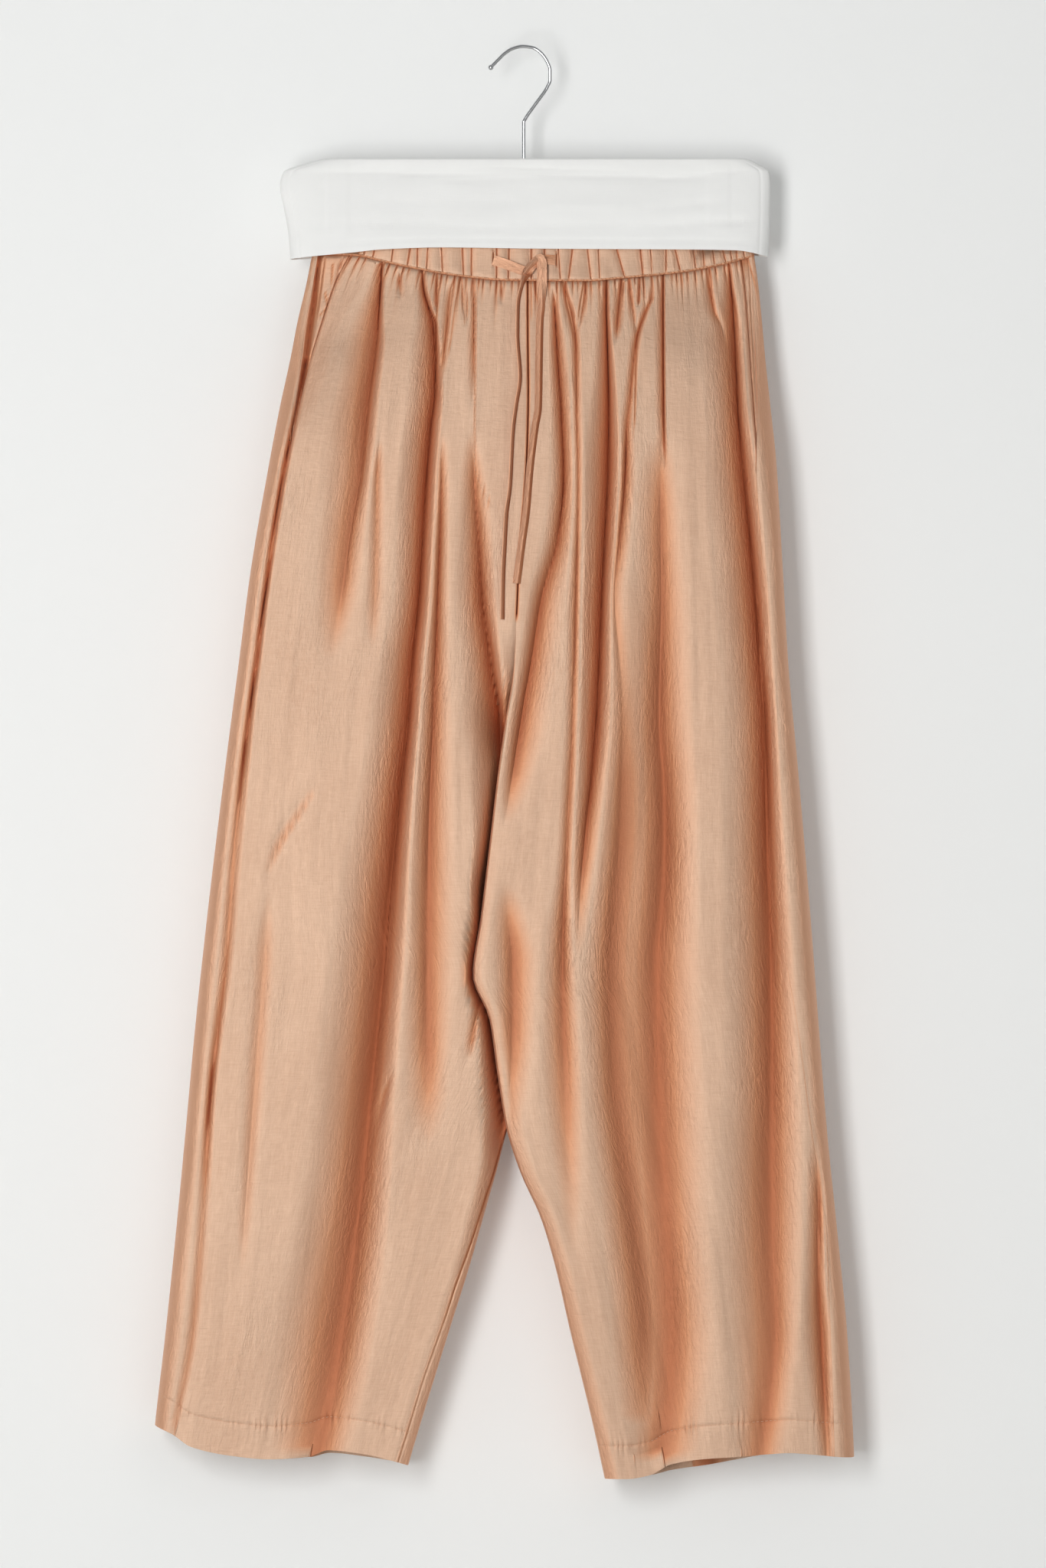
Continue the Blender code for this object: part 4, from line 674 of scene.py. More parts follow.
def painted_fold_shade(panel, x, z):
    """0 to 1: the shade painted where the cloth lies deep in a valley, on a sharp line or in a shaded hollow.
    """
    total = crisp(panel, x, z)
    for fold in FOLDS[panel]:
        depth = -column(fold, "rise", z)
        steep = 2 * depth / (column(fold, "left", z) + column(fold, "right", z))
        deepest = np.clip(FOLD_SHADE_BASE + FOLD_SHADE_SLOPE * steep, 0.0, FOLD_SHADE_MOST)
        deepest = deepest * np.clip(depth / FOLD_SHADE_FULL, 0.0, 1.0)
        shade_in_fold = deepest * fold_profile(fold, x, z) ** FOLD_SHADE_NARROW
        total = np.maximum(total, np.where(along(fold, z), shade_in_fold, 0.0))
    for hollow in SHADED_HOLLOWS.get(panel, []):
        across = ease(HOLLOW_EDGE * (1 - np.abs(across_fold(hollow, x, z))))
        total = np.maximum(total, np.where(along(hollow, z), column(hollow, "rise", z) * across, 0.0))
    return total


level_with_thighs = painted_fold_shade("front_left", np.arange(-300.0, 0.0), -500.0)
print("darkest fold of the left front at z = -500: %.2f" % level_with_thighs.max())

# %% [markdown]
# ## The walls of the legs
# Every panel starts as a smooth wall: square across the leg, lens-shaped at the waist, and drawn in
# towards its inner edge, where one leg lies behind the other. The folds are added to that wall, and
# fade out at the folded side.

# %% Walls
END_ROUND = 2.8          # radius of the rounding at the folded sides
EDGE_FADE = 16.0         # folds die out this far from the outer edge
LAP_FADE = 6.0           # and, on the leg behind, this far from its inner edge
LAP_TOP = -480.0         # below which one leg lies over the other
BEHIND = ("front_left", "back_right")


def half_depth(face, side, x, z):
    """Half depth of the trousers' section, square below and lens-shaped at the waist."""
    edge = edge_line(side, z)
    across = np.clip((x - WAIST_MIDDLE) / (edge - WAIST_MIDDLE), 0.0, 1.0)
    body = (1 - across ** column(DEPTHS, "power", z)) ** column(DEPTHS, "root", z)
    from_edge = np.clip(np.abs(edge - x), 0.0, END_ROUND)
    return column(DEPTHS, face, z) * body + np.sqrt(END_ROUND**2 - (END_ROUND - from_edge) ** 2)


def wall(panel, x, z):
    """y of the middle of a panel's wall, before it rolls round at its inner edge."""
    face, side = panel.split("_")
    full = OUTWARD[face] * half_depth(face, side, x, z)
    near = column(INNER_EDGES[panel], "near", z)
    from_inner = np.abs(x - inner_line(panel, z))
    reach = (from_inner - column(INNER_EDGES[panel], "flat", z)) / column(REACHES, "width", z)
    base = near + (full - near) * (1 - (1 - np.clip(reach, 0.0, 1.0)) ** 2)
    lap = np.where((panel in BEHIND) & (z < LAP_TOP), ease(from_inner / LAP_FADE), 1.0)
    fade = ease(np.abs(edge_line(side, z) - x) / EDGE_FADE) * lap
    return base + OUTWARD[face] * fold_rise(panel, x, z) * fade


def level_at(panel, level, x):
    """Height of a section at x: the top one follows the waist seam, the lowest one the hem."""
    face, side = panel.split("_")
    seam = column(WAIST_SEAM, "z", x, key="x") - TOP_LEVEL
    hem = column(HEMS[side], face, x, key="x") - HEM_LEVEL
    at_top = ease(1 - (TOP_LEVEL - level) / TOP_FADE)
    at_hem = ease((HEM_FADE - (level - HEM_LEVEL)) / (HEM_FADE - HEM_LOWEST))
    return level + seam * at_top + hem * at_hem


print("depth at the knee: %.0f mm" % (2 * half_depth("front", "left", -150.0, -700.0)))

# %% Gathers at the waist
def back_tucks(panel):
    """Puckers of a back, evenly but not exactly spaced."""
    inner, rim = INNER_EDGES[panel][0].x, edge_line(panel.split("_")[1], OUTLINE[0].z)
    return [Tuck(inner + (rim - inner) * (k + 0.6 + 0.3 * math.sin(2.4 * k + 1.0)) / (BACK_TUCKS + 0.4),
                 1.2 + 0.4 * math.sin(1.7 * k), 16 + 9 * math.sin(3.1 * k)) for k in range(BACK_TUCKS)]


def puckers(panel, share, below):
    """Rise and painted shade of a panel's puckers, by the share of its width and the way below the waist
    seam.
    """
    side = panel.split("_")[1]
    inner = INNER_EDGES[panel][0].x
    if panel.startswith("front"):
        tucks, rim = TUCKS[panel], mouth_line(side, OUTLINE[0].z)
    else:
        tucks, rim = back_tucks(panel), edge_line(side, OUTLINE[0].z)
    below = np.clip(below, 0.0, 200.0)
    puff = TUCK_PUFF * (below / PUFF_BELOW) * np.exp(1 - below / PUFF_BELOW)
    rise = puff - TUCK_SUNK * dip(below, TUCK_EDGE)
    dark = SEAM_SHADE * dip(below, SEAM_SHADE_DOWN) + 0 * share
    for tuck in tucks:
        offset = (share - (tuck.x - inner) / (rim - inner)) * abs(rim - inner)
        width = TUCK_WIDTH * (1 + np.clip(below, 0, 60) / (1.5 * tuck.length))
        crease = peak(offset, width) ** 2 * np.exp(-below / tuck.length)
        rise = rise - 1.6 * tuck.depth * crease * np.clip(below / 2.0, 0.0, 1.0)
        dark = np.maximum(dark, TUCK_DARK * tuck.depth * crease)
    return rise, np.clip(dark, 0.0, 1.0)


print("%d puckers on each back" % len(back_tucks("back_left")))

# %% [markdown]
# ## Cloth from a grid
# Each piece of cloth is a grid of points, one row for each height, so its folds run down its columns as
# the real folds run down the grain. Solidify gives it a wall, and a UV map in metres keeps the warp
# and the weft in the right direction on every panel. Two attributes go with it: crease carries the shade
# painted into folds, puckers, seams and gaps, and turned tells how far the cloth faces sideways, where
# the finish paints on the colour of the light that the cloth reflects onto itself.

# %% Cloth helpers
SATIN_WALL = 0.9         # the crinkled cloth, a little under the model's wall
COTTON_WALL = 0.7
BAND_WALL = 1.4


def settle(piece, slot, *nodes):
    """Attach a piece to the root body and hide the solids that it stands for; the finish slot is not used."""
    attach(piece, "root")
    if nodes:
        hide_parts(*nodes)
    return piece


def select_only(*pieces):
    bpy.ops.object.select_all(action="DESELECT")
    for piece in pieces:
        piece.select_set(True)
    bpy.context.view_layer.objects.active = pieces[0]


def grid_faces(rows, columns, closed):
    """Corner numbers of the four-sided faces of a grid, whose columns may close in a ring."""
    i, j = np.meshgrid(np.arange(rows - 1), np.arange(columns if closed else columns - 1), indexing="ij")
    k = (j + 1) % columns
    corners = [i * columns + j, i * columns + k, (i + 1) * columns + k, (i + 1) * columns + j]
    return np.stack(corners, axis=-1).reshape(-1, 4)


def cloth(name, points, across, down, wall_mm, flip=False, closed=False, crease=0.0, turned=None):
    """Cloth through a grid of points in millimetres, with its UV map in metres."""
    shape = points.shape[:2]
    quads = grid_faces(*shape, closed)
    mesh = bpy.data.meshes.new(name)
    mesh.from_pydata((points.reshape(-1, 3) * MM).tolist(), [], (quads[:, ::-1] if flip else quads).tolist())
    layer = mesh.uv_layers.new(name="cloth")
    corners = np.empty(len(mesh.loops), dtype=np.int32)
    mesh.loops.foreach_get("vertex_index", corners)
    flat = np.stack([np.broadcast_to(way, shape).ravel()[corners] for way in (across, down)], axis=1) * MM
    layer.data.foreach_set("uv", flat.ravel())
    # turned is how far the cloth faces sideways; the finish paints the colour of reflected light by it
    if turned is None:
        run = np.gradient(points, axis=1)
        turned = np.abs(run[:, :, 1]) / np.maximum(np.linalg.norm(run, axis=2), 1e-6)
    for name_of, values in (("crease", crease), ("turned", turned)):
        marks = mesh.attributes.new(name_of, "FLOAT", "POINT")
        marks.data.foreach_set("value", np.broadcast_to(values, shape).ravel().astype(np.float32))
    piece = add_object(name, mesh)
    shell = piece.modifiers.new("wall", "SOLIDIFY")
    shell.thickness = wall_mm * MM
    shell.offset = 0.0
    select_only(piece)
    bpy.ops.object.modifier_apply(modifier="wall")
    bpy.ops.object.shade_smooth_by_angle(angle=math.radians(60))
    area = sum(face.area for face in mesh.polygons) / 2
    print("%s: %d faces, %.3f m2 of cloth" % (name, len(mesh.polygons), area))
    return piece


print("walls of %.1f mm satin, %.1f mm cotton and %.1f mm band" % (SATIN_WALL, COTTON_WALL, BAND_WALL))

# %% Rows and columns of a panel
GATHER_ROWS = 40          # close rows under the waist seam, where the gathers are
FIRST_STEP = 0.8
GATHER_STEP = 2.0
ROW_STEP = 8.2
COLUMNS = {"front": 285, "back": 225}
ROLL = 0.006              # share of a panel's width that rolls round at its inner edge
ROLL_COLUMNS = 12
END_COLUMNS = 8           # close columns at the outer edge
HEM_UP = 27.0             # the row of stitches lies this far above the hem
HEM_ROWS = [7.0, 3.2, 1.6, 0.6, -0.3, -1.2, -3.0, -7.0]   # close rows around it

gather_steps = np.linspace(0, 1, GATHER_ROWS) * (GATHER_STEP - FIRST_STEP) + FIRST_STEP
gather_levels = np.concatenate([[TOP_LEVEL], TOP_LEVEL - np.cumsum(gather_steps)])
plain_levels = np.arange(gather_levels[-1] - ROW_STEP, HEM_LEVEL + ROW_STEP / 2, -ROW_STEP)
plain_levels = plain_levels[np.abs(plain_levels - HEM_LEVEL - HEM_UP) > ROW_STEP]
hem_levels = HEM_LEVEL + HEM_UP + np.array(HEM_ROWS)
levels = np.sort(np.concatenate([gather_levels, plain_levels, hem_levels, [HEM_LEVEL]]))[::-1]
roll_shares = ROLL * (np.arange(ROLL_COLUMNS) / ROLL_COLUMNS) ** 2
end_shares = 1 - 0.03 * (np.arange(END_COLUMNS)[::-1] / END_COLUMNS) ** 1.6
shares = {face: np.concatenate([roll_shares, np.linspace(ROLL, 0.965, count), end_shares])
          for face, count in COLUMNS.items()}
print("%d rows, %s columns" % (len(levels), {face: len(share) for face, share in shares.items()}))

# %% Seams and hem lines
SEAM_DIP = 0.7            # how far a seam draws the cloth in, and over what width
SEAM_WIDTH = 1.25
SIDE_SHARE = 0.2          # a side seam draws in less than the centre seam
CENTRE_SEAM_FOOT = -461.0
FACING_FOOT = -345.0      # where the slanted pocket mouths end
SIDE_SEAM_TOP = -333.0
HEM_GROOVE = 0.35
HEM_PUCKER = 0.5


def seam_line(panel, x, z):
    """How far the seams at a panel's two edges draw it in."""
    side = panel.split("_")[1]
    inner = np.where(z > CENTRE_SEAM_FOOT, np.abs(x - inner_line(panel, z)), 99.0)
    outer = np.where(z < SIDE_SEAM_TOP, np.abs(x - mouth_line(side, z)), 99.0)
    return -SEAM_DIP * (dip(inner, SEAM_WIDTH) + SIDE_SHARE * dip(outer, SEAM_WIDTH))


def hem_line(panel, x, z):
    """Groove and upright puckers along a hem's row of stitches, from 0 to 1 each."""
    face, side = panel.split("_")
    above = z - column(HEMS[side], face, x, key="x") - HEM_UP
    wave = 0.5 + 0.5 * np.sin(x / 0.9 + 1.7 * np.sin(x / 3.1) + 0.9 * np.sin(x / 11.0))
    swell = 0.5 + 0.5 * np.sin(x / 9.0 + 1.2 * np.sin(x / 23.0))
    return dip(above, 1.1), wave * swell * np.exp(-np.abs(above) / 4.5)


def below_waist(x, z):
    return column(WAIST_SEAM, "z", x, key="x") - z


print("the hem's stitches lie at z = %.0f mm on the level" % (HEM_LEVEL + HEM_UP))

# %% The surface of a panel
LAP_SHADE = 0.85          # shade on the leg behind, along the edge of the leg in front
LAP_SHADE_WIDTH = 7.0
LAP_SHADE_TOP = -490.0
# shade painted into the hem's groove
HEM_SHADE = 0.10


def sections(panel, level, x_of):
    """x and z of a panel's rows, which follow the waist seam and the hem."""
    z = level + 0 * x_of(level)
    for _ in range(3):
        x = x_of(z)
        z = level_at(panel, level, x)
    return x, z


def surface(panel, x_of, columns_share=None):
    """x, y and z of a panel's cloth over all rows, with folds, gathers and seams."""
    outward = OUTWARD[panel.split("_")[0]]
    x, z = sections(panel, levels[:, None], x_of)
    groove, pucker = hem_line(panel, x, z)
    y = wall(panel, x, z) + outward * (HEM_PUCKER * pucker - HEM_GROOVE * groove)
    if columns_share is not None:
        y = y + outward * puckers(panel, columns_share, below_waist(x, z))[0]
        y = y + outward * seam_line(panel, x, z)
    return np.stack([x, y, z], axis=-1)


def creases(panel, points, columns_share):
    """0 to 1 over a panel: the shade painted into its folds, puckers, seams and hem groove, and beside the
    leg in front.
    """
    x, z = points[:, :, 0], points[:, :, 2]
    seams = -seam_line(panel, x, z) / SEAM_DIP
    dark = np.maximum(painted_fold_shade(panel, x, z), puckers(panel, columns_share, below_waist(x, z))[1])
    if panel == "front_left":
        near_leg = dip(np.abs(x - inner_line("front_right", z)), LAP_SHADE_WIDTH)
        dark = np.maximum(dark, LAP_SHADE * near_leg * ease((LAP_SHADE_TOP - z) / 60.0))
    groove, pucker = hem_line(panel, x, z)
    dark = dark + HEM_SHADE * groove * (1 - 0.6 * pucker)
    return np.clip(np.maximum(dark, 1.05 * seams), 0.0, 1.0)


def roll_edge(panel, points):
    """Turn the columns near the inner edge round to it, as a quarter of an ellipse."""
    inner = INNER_EDGES[panel]
    z = points[:, :, 2]
    turned = column(inner, "y", z)
    amount = np.clip(np.abs(turned - column(inner, "near", z)) / 2.0, 0.0, 1.0)
    share = np.clip(shares[panel.split("_")[0]] / ROLL, 0.0, 1.0)
    arc = np.sqrt(1 - (1 - share) ** 2)
    rolled = turned + (points[:, :, 1] - turned) * arc
    points[:, :, 1] += (rolled - points[:, :, 1]) * amount * (share < 1)
    return points


print("each front takes %d points" % (len(levels) * len(shares["front"])))

# %% [markdown]
# ## The two fronts
# A front runs from the centre seam, and lower down from the inside of the leg, out to the slanted
# pocket mouth and the side seam. The mouth's edge is folded, so it turns in a little while it is open.

# %% Fronts
MOUTH_ROLL = 1.4          # the folded edge of a pocket mouth turns in this far, over this width
MOUTH_WIDTH = 1.8
FRONT_WIDTH = 250.0       # of the cloth's pattern; the right front is cut from another part of it
RIGHT_SHIFT = 400.0


def front_cloth(side):
    panel = "front_" + side

    def x_of(z):
        near = inner_line(panel, z)
        return near + (mouth_line(side, z) - near) * shares["front"]

    points = roll_edge(panel, surface(panel, x_of, shares["front"]))
    from_mouth = np.clip(np.abs(points[:, :, 0] - mouth_line(side, points[:, :, 2])) / MOUTH_WIDTH, 0.0, 1.0)
    open_mouth = ease((points[:, :, 2] - FACING_FOOT) / 12.0)
    points[:, :, 1] += MOUTH_ROLL * (1 - np.sqrt(1 - (1 - from_mouth) ** 2)) * open_mouth
    across = FRONT_WIDTH * shares["front"] + (RIGHT_SHIFT if side == "right" else 0.0)
    piece = cloth("trouser_front_" + side + "_cloth", points, across, points[:, :, 2], SATIN_WALL,
                  flip=side == "right", crease=creases(panel, points, shares["front"]))
    return settle(piece, "satin", "trouser_front_" + side)


fronts = {side: front_cloth(side) for side in ("left", "right")}

# %% [markdown]
# ## The two backs
# Each back wraps round the side of the leg, so that its seam shows on the front, as it does in the
# photograph. The turn at the side is sampled closely, because its outline is what one sees.

# %% Backs
WRAP_BACK = 25.0         # width of the rounded side on the back
TURN_STEPS = 12
WRAP_STEPS = 14


def back_cloth(side):
    panel, face_panel = "back_" + side, "front_" + side
    turn = (np.linspace(1.0, 0.0, TURN_STEPS + 1)[1:-1]) ** 2
    wrap = np.linspace(0.0, 1.0, WRAP_STEPS + 1) ** 1.6

    def x_back(z):
        near, edge = inner_line(panel, z), edge_line(side, z)
        return near + (edge + np.sign(near - edge) * WRAP_BACK - near) * shares["back"]

    def x_turn(z):
        edge = edge_line(side, z)
        return edge + np.sign(WAIST_MIDDLE - edge) * WRAP_BACK * turn

    def x_wrap(z):
        edge = edge_line(side, z)
        return edge + (seam_at_side(side, z) - edge) * wrap

    back = roll_edge(panel, surface(panel, x_back, shares["back"]))
    around = surface(panel, x_turn)
    front = surface(face_panel, x_wrap)
    front[:, 0, 1] = 0.0
    seam_gap = np.abs(front[:, :, 0] - seam_at_side(side, front[:, :, 2]))
    front[:, :, 1] += SIDE_SHARE * SEAM_DIP * dip(seam_gap, SEAM_WIDTH)
    points = np.concatenate([back, around, front], axis=1)
    dark = np.concatenate([creases(panel, back, shares["back"]),
                           painted_fold_shade(panel, around[:, :, 0], around[:, :, 2]),
                           painted_fold_shade(face_panel, front[:, :, 0], front[:, :, 2])], axis=1)
    piece = cloth("trouser_back_" + side + "_cloth", points, running(points[len(points) // 2]),
                  points[:, :, 2], SATIN_WALL, flip=side == "left", crease=dark)
    return settle(piece, "satin", "trouser_back_" + side)


backs = {side: back_cloth(side) for side in ("left", "right")}

# %% [markdown]
# ## Pocket facings
# The slanted mouths stand a little open, so a facing of the same cloth shows behind each one. It dips
# in before the side seam, more on the left, where the photograph shows the pocket's shadow.

# %% Pocket facings
FACING_STEPS = 40
FACING_ROWS = 80
FACING_UNDER = 6.0        # how far a facing reaches in behind the front
FACING_FOLD = 1.4
SHIFT = 3.0               # how far it lies behind the front there
Pocket = namedtuple("Pocket", "depth width dark")   # of the dip in front of the side seam
# dark is the pocket's shadow, painted into the dip
POCKETS = {"left": Pocket(4.0, 5.6, 0.6), "right": Pocket(0.2, 2.0, 0.2)}


def facing_cloth(side):
    panel, pocket, inward = "front_" + side, POCKETS[side], INWARD[side]
    steps = np.linspace(0.0, 1.0, FACING_STEPS)

    def x_of(z):
        mouth = mouth_line(side, z)
        seam = seam_at_side(side, z) - 0.5 * inward
        return mouth + inward * FACING_UNDER * (1 - steps) + (seam - mouth) * steps

    x, z = sections(panel, np.linspace(TOP_LEVEL, FACING_FOOT, FACING_ROWS)[:, None], x_of)
    near, mouth = inner_line(panel, z), mouth_line(side, z)
    share = np.clip((x - near) / (mouth - near), 0.0, 1.0)
    rise, dark = puckers(panel, share, below_waist(x, z))
    to_seam = np.abs(x - seam_at_side(side, z))
    centre = 0.55 * pocket.width * ease((-175.0 - z) / 40.0) + 1.0
    hollow = peak(to_seam - centre, pocket.width) ** 1.5 * ease(to_seam / 1.6)
    beyond = inward * (mouth - x)
    folds = crisp("facing_" + side, x, z)
    sunk = SHIFT * (1 - 0.8 * ease(beyond / 2.0))
    y = wall(panel, x, z) - rise + sunk + pocket.depth * hollow + FACING_FOLD * folds
    # Shade painted into the facing: the pocket's shadow in its dip, a thin shadow along the front's edge, and
    # the shade of its sharp lines
    edge_shade = 0.25 * np.exp(-np.clip(beyond, 0.0, 9.0) / 0.8)
    for shade in (pocket.dark * np.clip(2.0 * hollow, 0.0, 1.0), edge_shade, folds):
        dark = np.maximum(dark, shade)
    piece = cloth("pocket_facing_" + side + "_cloth", np.stack([x, y, z], axis=-1), x - x[0, 0], z,
                  SATIN_WALL, flip=side == "right", crease=dark)
    return settle(piece, "satin", "pocket_facing_" + side)


facings = {side: facing_cloth(side) for side in ("left", "right")}

# %% [markdown]
# ## Waistband
# Elastic inside the band draws it into narrow creases with puffed cloth between them, and a puckered
# bead runs along the waist seam. The band sags between the clips, which pinch it flat under the cover.
# The front has two upright buttonholes for the drawstring.

# %% The band's section
BAND_ROWS = 22
BAND_STEP = 0.62
BAND_END = 4.0            # closer columns over this much of each end
BAND_TOP = -131.0         # the band's top edge at the clips
BAND_SAG = 19.0           # how much lower it is in the middle
SAG_REACH = 150.0         # from the middle to the clips
BEAD_ROWS = [0.0, 0.008, 0.018, 0.030, 0.042, 0.054, 0.068]   # close rows over the bead
CLIP_CENTRES = {"clip_left": -150.0, "clip_right": 158.0}
PINCH_DEPTH = 1.6         # half depth of the band between a clip's jaws
PINCH_WIDTH = 24.0        # it is narrowed this far to each side of a clip
PINCH_DOWN = 38.0         # and this far down from the top

band_left, band_right = OUTLINE[0].left_edge, OUTLINE[0].right_edge
band_middle, band_half = (band_left + band_right) / 2, (band_right - band_left) / 2
ends = BAND_END * (np.arange(10) / 10) ** 2
knots = np.concatenate([band_left + ends, np.arange(band_left + BAND_END, band_right - BAND_END, BAND_STEP),
                        band_right - ends[::-1]])


def band_section(face):
    """x, z, height over the seam and half depth of the band, and how far the clips pinch it."""
    share = np.concatenate([BEAD_ROWS, np.linspace(0.12, 1.0, BAND_ROWS - len(BEAD_ROWS))])[:, None]
    top = BAND_TOP - BAND_SAG * (1 - np.clip(np.abs(knots - band_middle) / SAG_REACH, 0.0, 1.0) ** 2)
    x = knots + 0 * share
    for _ in range(3):
        seam = column(WAIST_SEAM, "z", x, key="x")
        z = seam + (top - seam) * share
        edge = np.where(knots < band_middle, band_middle - edge_line("left", z),
                        edge_line("right", z) - band_middle)
        x = band_middle + (knots - band_middle) * edge / band_half
    depth = np.where(x < WAIST_MIDDLE, half_depth(face, "left", x, z), half_depth(face, "right", x, z))
    pinch = np.zeros_like(x)
    for centre in CLIP_CENTRES.values():
        pinch = np.maximum(pinch, ease((PINCH_WIDTH - np.abs(x - centre)) / 12.0))
    pinch = pinch * ease((z - top + PINCH_DOWN) / 14.0)
    depth = depth + (PINCH_DEPTH - depth) * np.where(depth > PINCH_DEPTH, pinch, 0.0)
    return x, z, z - seam, depth, pinch


print("%d columns round each half of the band, %.0f mm wide" % (len(knots), band_right - band_left))

# %% Creases and buttonholes of the band
BandTuck = namedtuple("BandTuck", "top foot depth")
BAND_TUCKS = from_picture(BandTuck, [
    (418, 418, 0.6), (431, 430, 0.7), (455, 455, 0.6), (468, 470, 0.7), (479, 477, 0.8), (492, 489, 1),
    (514, 514, 0.8), (537, 535, 1), (545, 548, 0.9), (559, 560, 0.8), (576, 581, 0.8), (604, 608, 1),
    (616, 618, 0.9), (649, 650, 1), (665, 665, 0.9), (694, 694, 1), (711, 711, 0.9), (729, 731, 0.7),
    (747, 741, 0.9), (767, 770, 0.8), (781, 781, 0.6), (805, 813, 1.1), (835.5, 836.5, 1.2), (849, 848, 0.6),
    (870, 866, 0.8), (880, 885, 0.9), (905, 905, 0.8), (918, 916, 0.8), (930, 930, 0.7), (941, 945, 0.9),
    (953, 953, 0.6), (962, 960, 0.7), (970, 970, 0.6),
])
BACK_BAND_TUCKS = 24
CREASE_DEPTH = 1.5
CREASE_WIDTH = 1.15
# shade painted into the band's creases
CREASE_DARK = 0.62
Buttonhole = namedtuple("Buttonhole", "x z half_height")
BUTTONHOLES = named(Buttonhole, [(-24, -171.3, 6.2), (27, -172.2, 6.2)])


def band_tucks(face):
    """Creases of one half of the band, evenly but not exactly spaced on the back."""
    if face == "front":
        return BAND_TUCKS
    width = band_right - band_left - 30
    middles = [band_left + 15 + width * (k + 0.3 * math.sin(2.2 * k)) / (BACK_BAND_TUCKS - 1)
               for k in range(BACK_BAND_TUCKS)]
    return [BandTuck(x, x + 2.5 * math.sin(5 * k), 0.6 + 0.4 * math.sin(3 * k) ** 2)
            for k, x in enumerate(middles)]


def band_creases(face, above):
    """Depth of the creases, and how near one of them is, from 0 to 1 each."""
    deep, near = np.zeros_like(above), np.zeros_like(above)
    for tuck in band_tucks(face):
        offset = np.abs(knots - (tuck.foot + (tuck.top - tuck.foot) * np.clip(above / 24.0, 0.0, 1.0)))
        deep = np.maximum(deep, tuck.depth * peak(offset, CREASE_WIDTH) ** 1.4)
        near = np.maximum(near, tuck.depth * dip(offset, 3.2))
    return deep, near


def slits(face, x, z):
    """0 to 1: the slits of the buttonholes."""
    total = np.zeros_like(x)
    for hole in BUTTONHOLES if face == "front" else []:
        within = hole.half_height + 0.6 - np.abs(z - hole.z)
        total = np.maximum(total, dip(np.abs(x - hole.x), 0.8) * ease(within / 1.5))
    return total


print("creases of the band: %d in front, %d behind" % (len(BAND_TUCKS), len(band_tucks("back"))))

# %% Waistband
PUFF = 0.7                # how far the cloth puffs out between the creases
RIDGE = 0.42              # radius of the puckered bead along the waist seam
# shade painted under the bead of the waist seam
SEAM_DARK = 0.6


def band_cloth(face):
    x, z, above, depth, pinch = band_section(face)
    deep, near = band_creases(face, above)
    slit = slits(face, x, z)
    soft = 0.5 + 0.5 * np.sin(knots / 4.1 + 2.0 * np.sin(knots / 11.0) + above / 9.0)
    inside = ease(np.minimum(knots - band_left, band_right - knots) / 8.0)
    ruffle = PUFF * (1 - near) + 0.35 * soft - CREASE_DEPTH * deep - 0.9 * slit
    depth = depth + ruffle * inside * np.clip(above / 3.0, 0.0, 1.0) * (1 - pinch)
    bead = (1 + 0.3 * np.sin(1.9 * knots + 1.8 * np.sin(knots / 3.7))
            + 0.2 * np.sin(0.83 * knots + np.sin(knots / 7.1)))
    radius = RIDGE * bead
    roll = 0.5 + 0.5 * np.cos(math.pi * np.clip(above / radius - 1, -1.0, 1.0))
    depth = depth + inside * (radius * roll)
    seam_shade = SEAM_DARK * (0.75 + 0.5 * (1 - bead)) * dip(above, 1.1)
    # Painted shade: in the band's creases, under its bead and in the buttonhole slits
    dark = np.maximum(np.maximum(CREASE_DARK * deep, seam_shade), 0.95 * slit)
    piece = cloth("waistband_" + face + "_cloth", np.stack([x, OUTWARD[face] * depth, z], axis=-1), knots, z,
                  BAND_WALL, flip=face == "front", crease=np.clip(dark, 0.0, 1.0))
    return settle(piece, "satin", "waistband_" + face)


bands = {face: band_cloth(face) for face in ("front", "back")}

# %% [markdown]
# ## Drawstring
# The drawstring is a flat tape of the same satin that comes out of the two buttonholes, crosses in a
# half knot and hangs down in two free ends. It is made as one tape on each side of the knot. Rays find
# the cloth behind the tape, which lies on it.

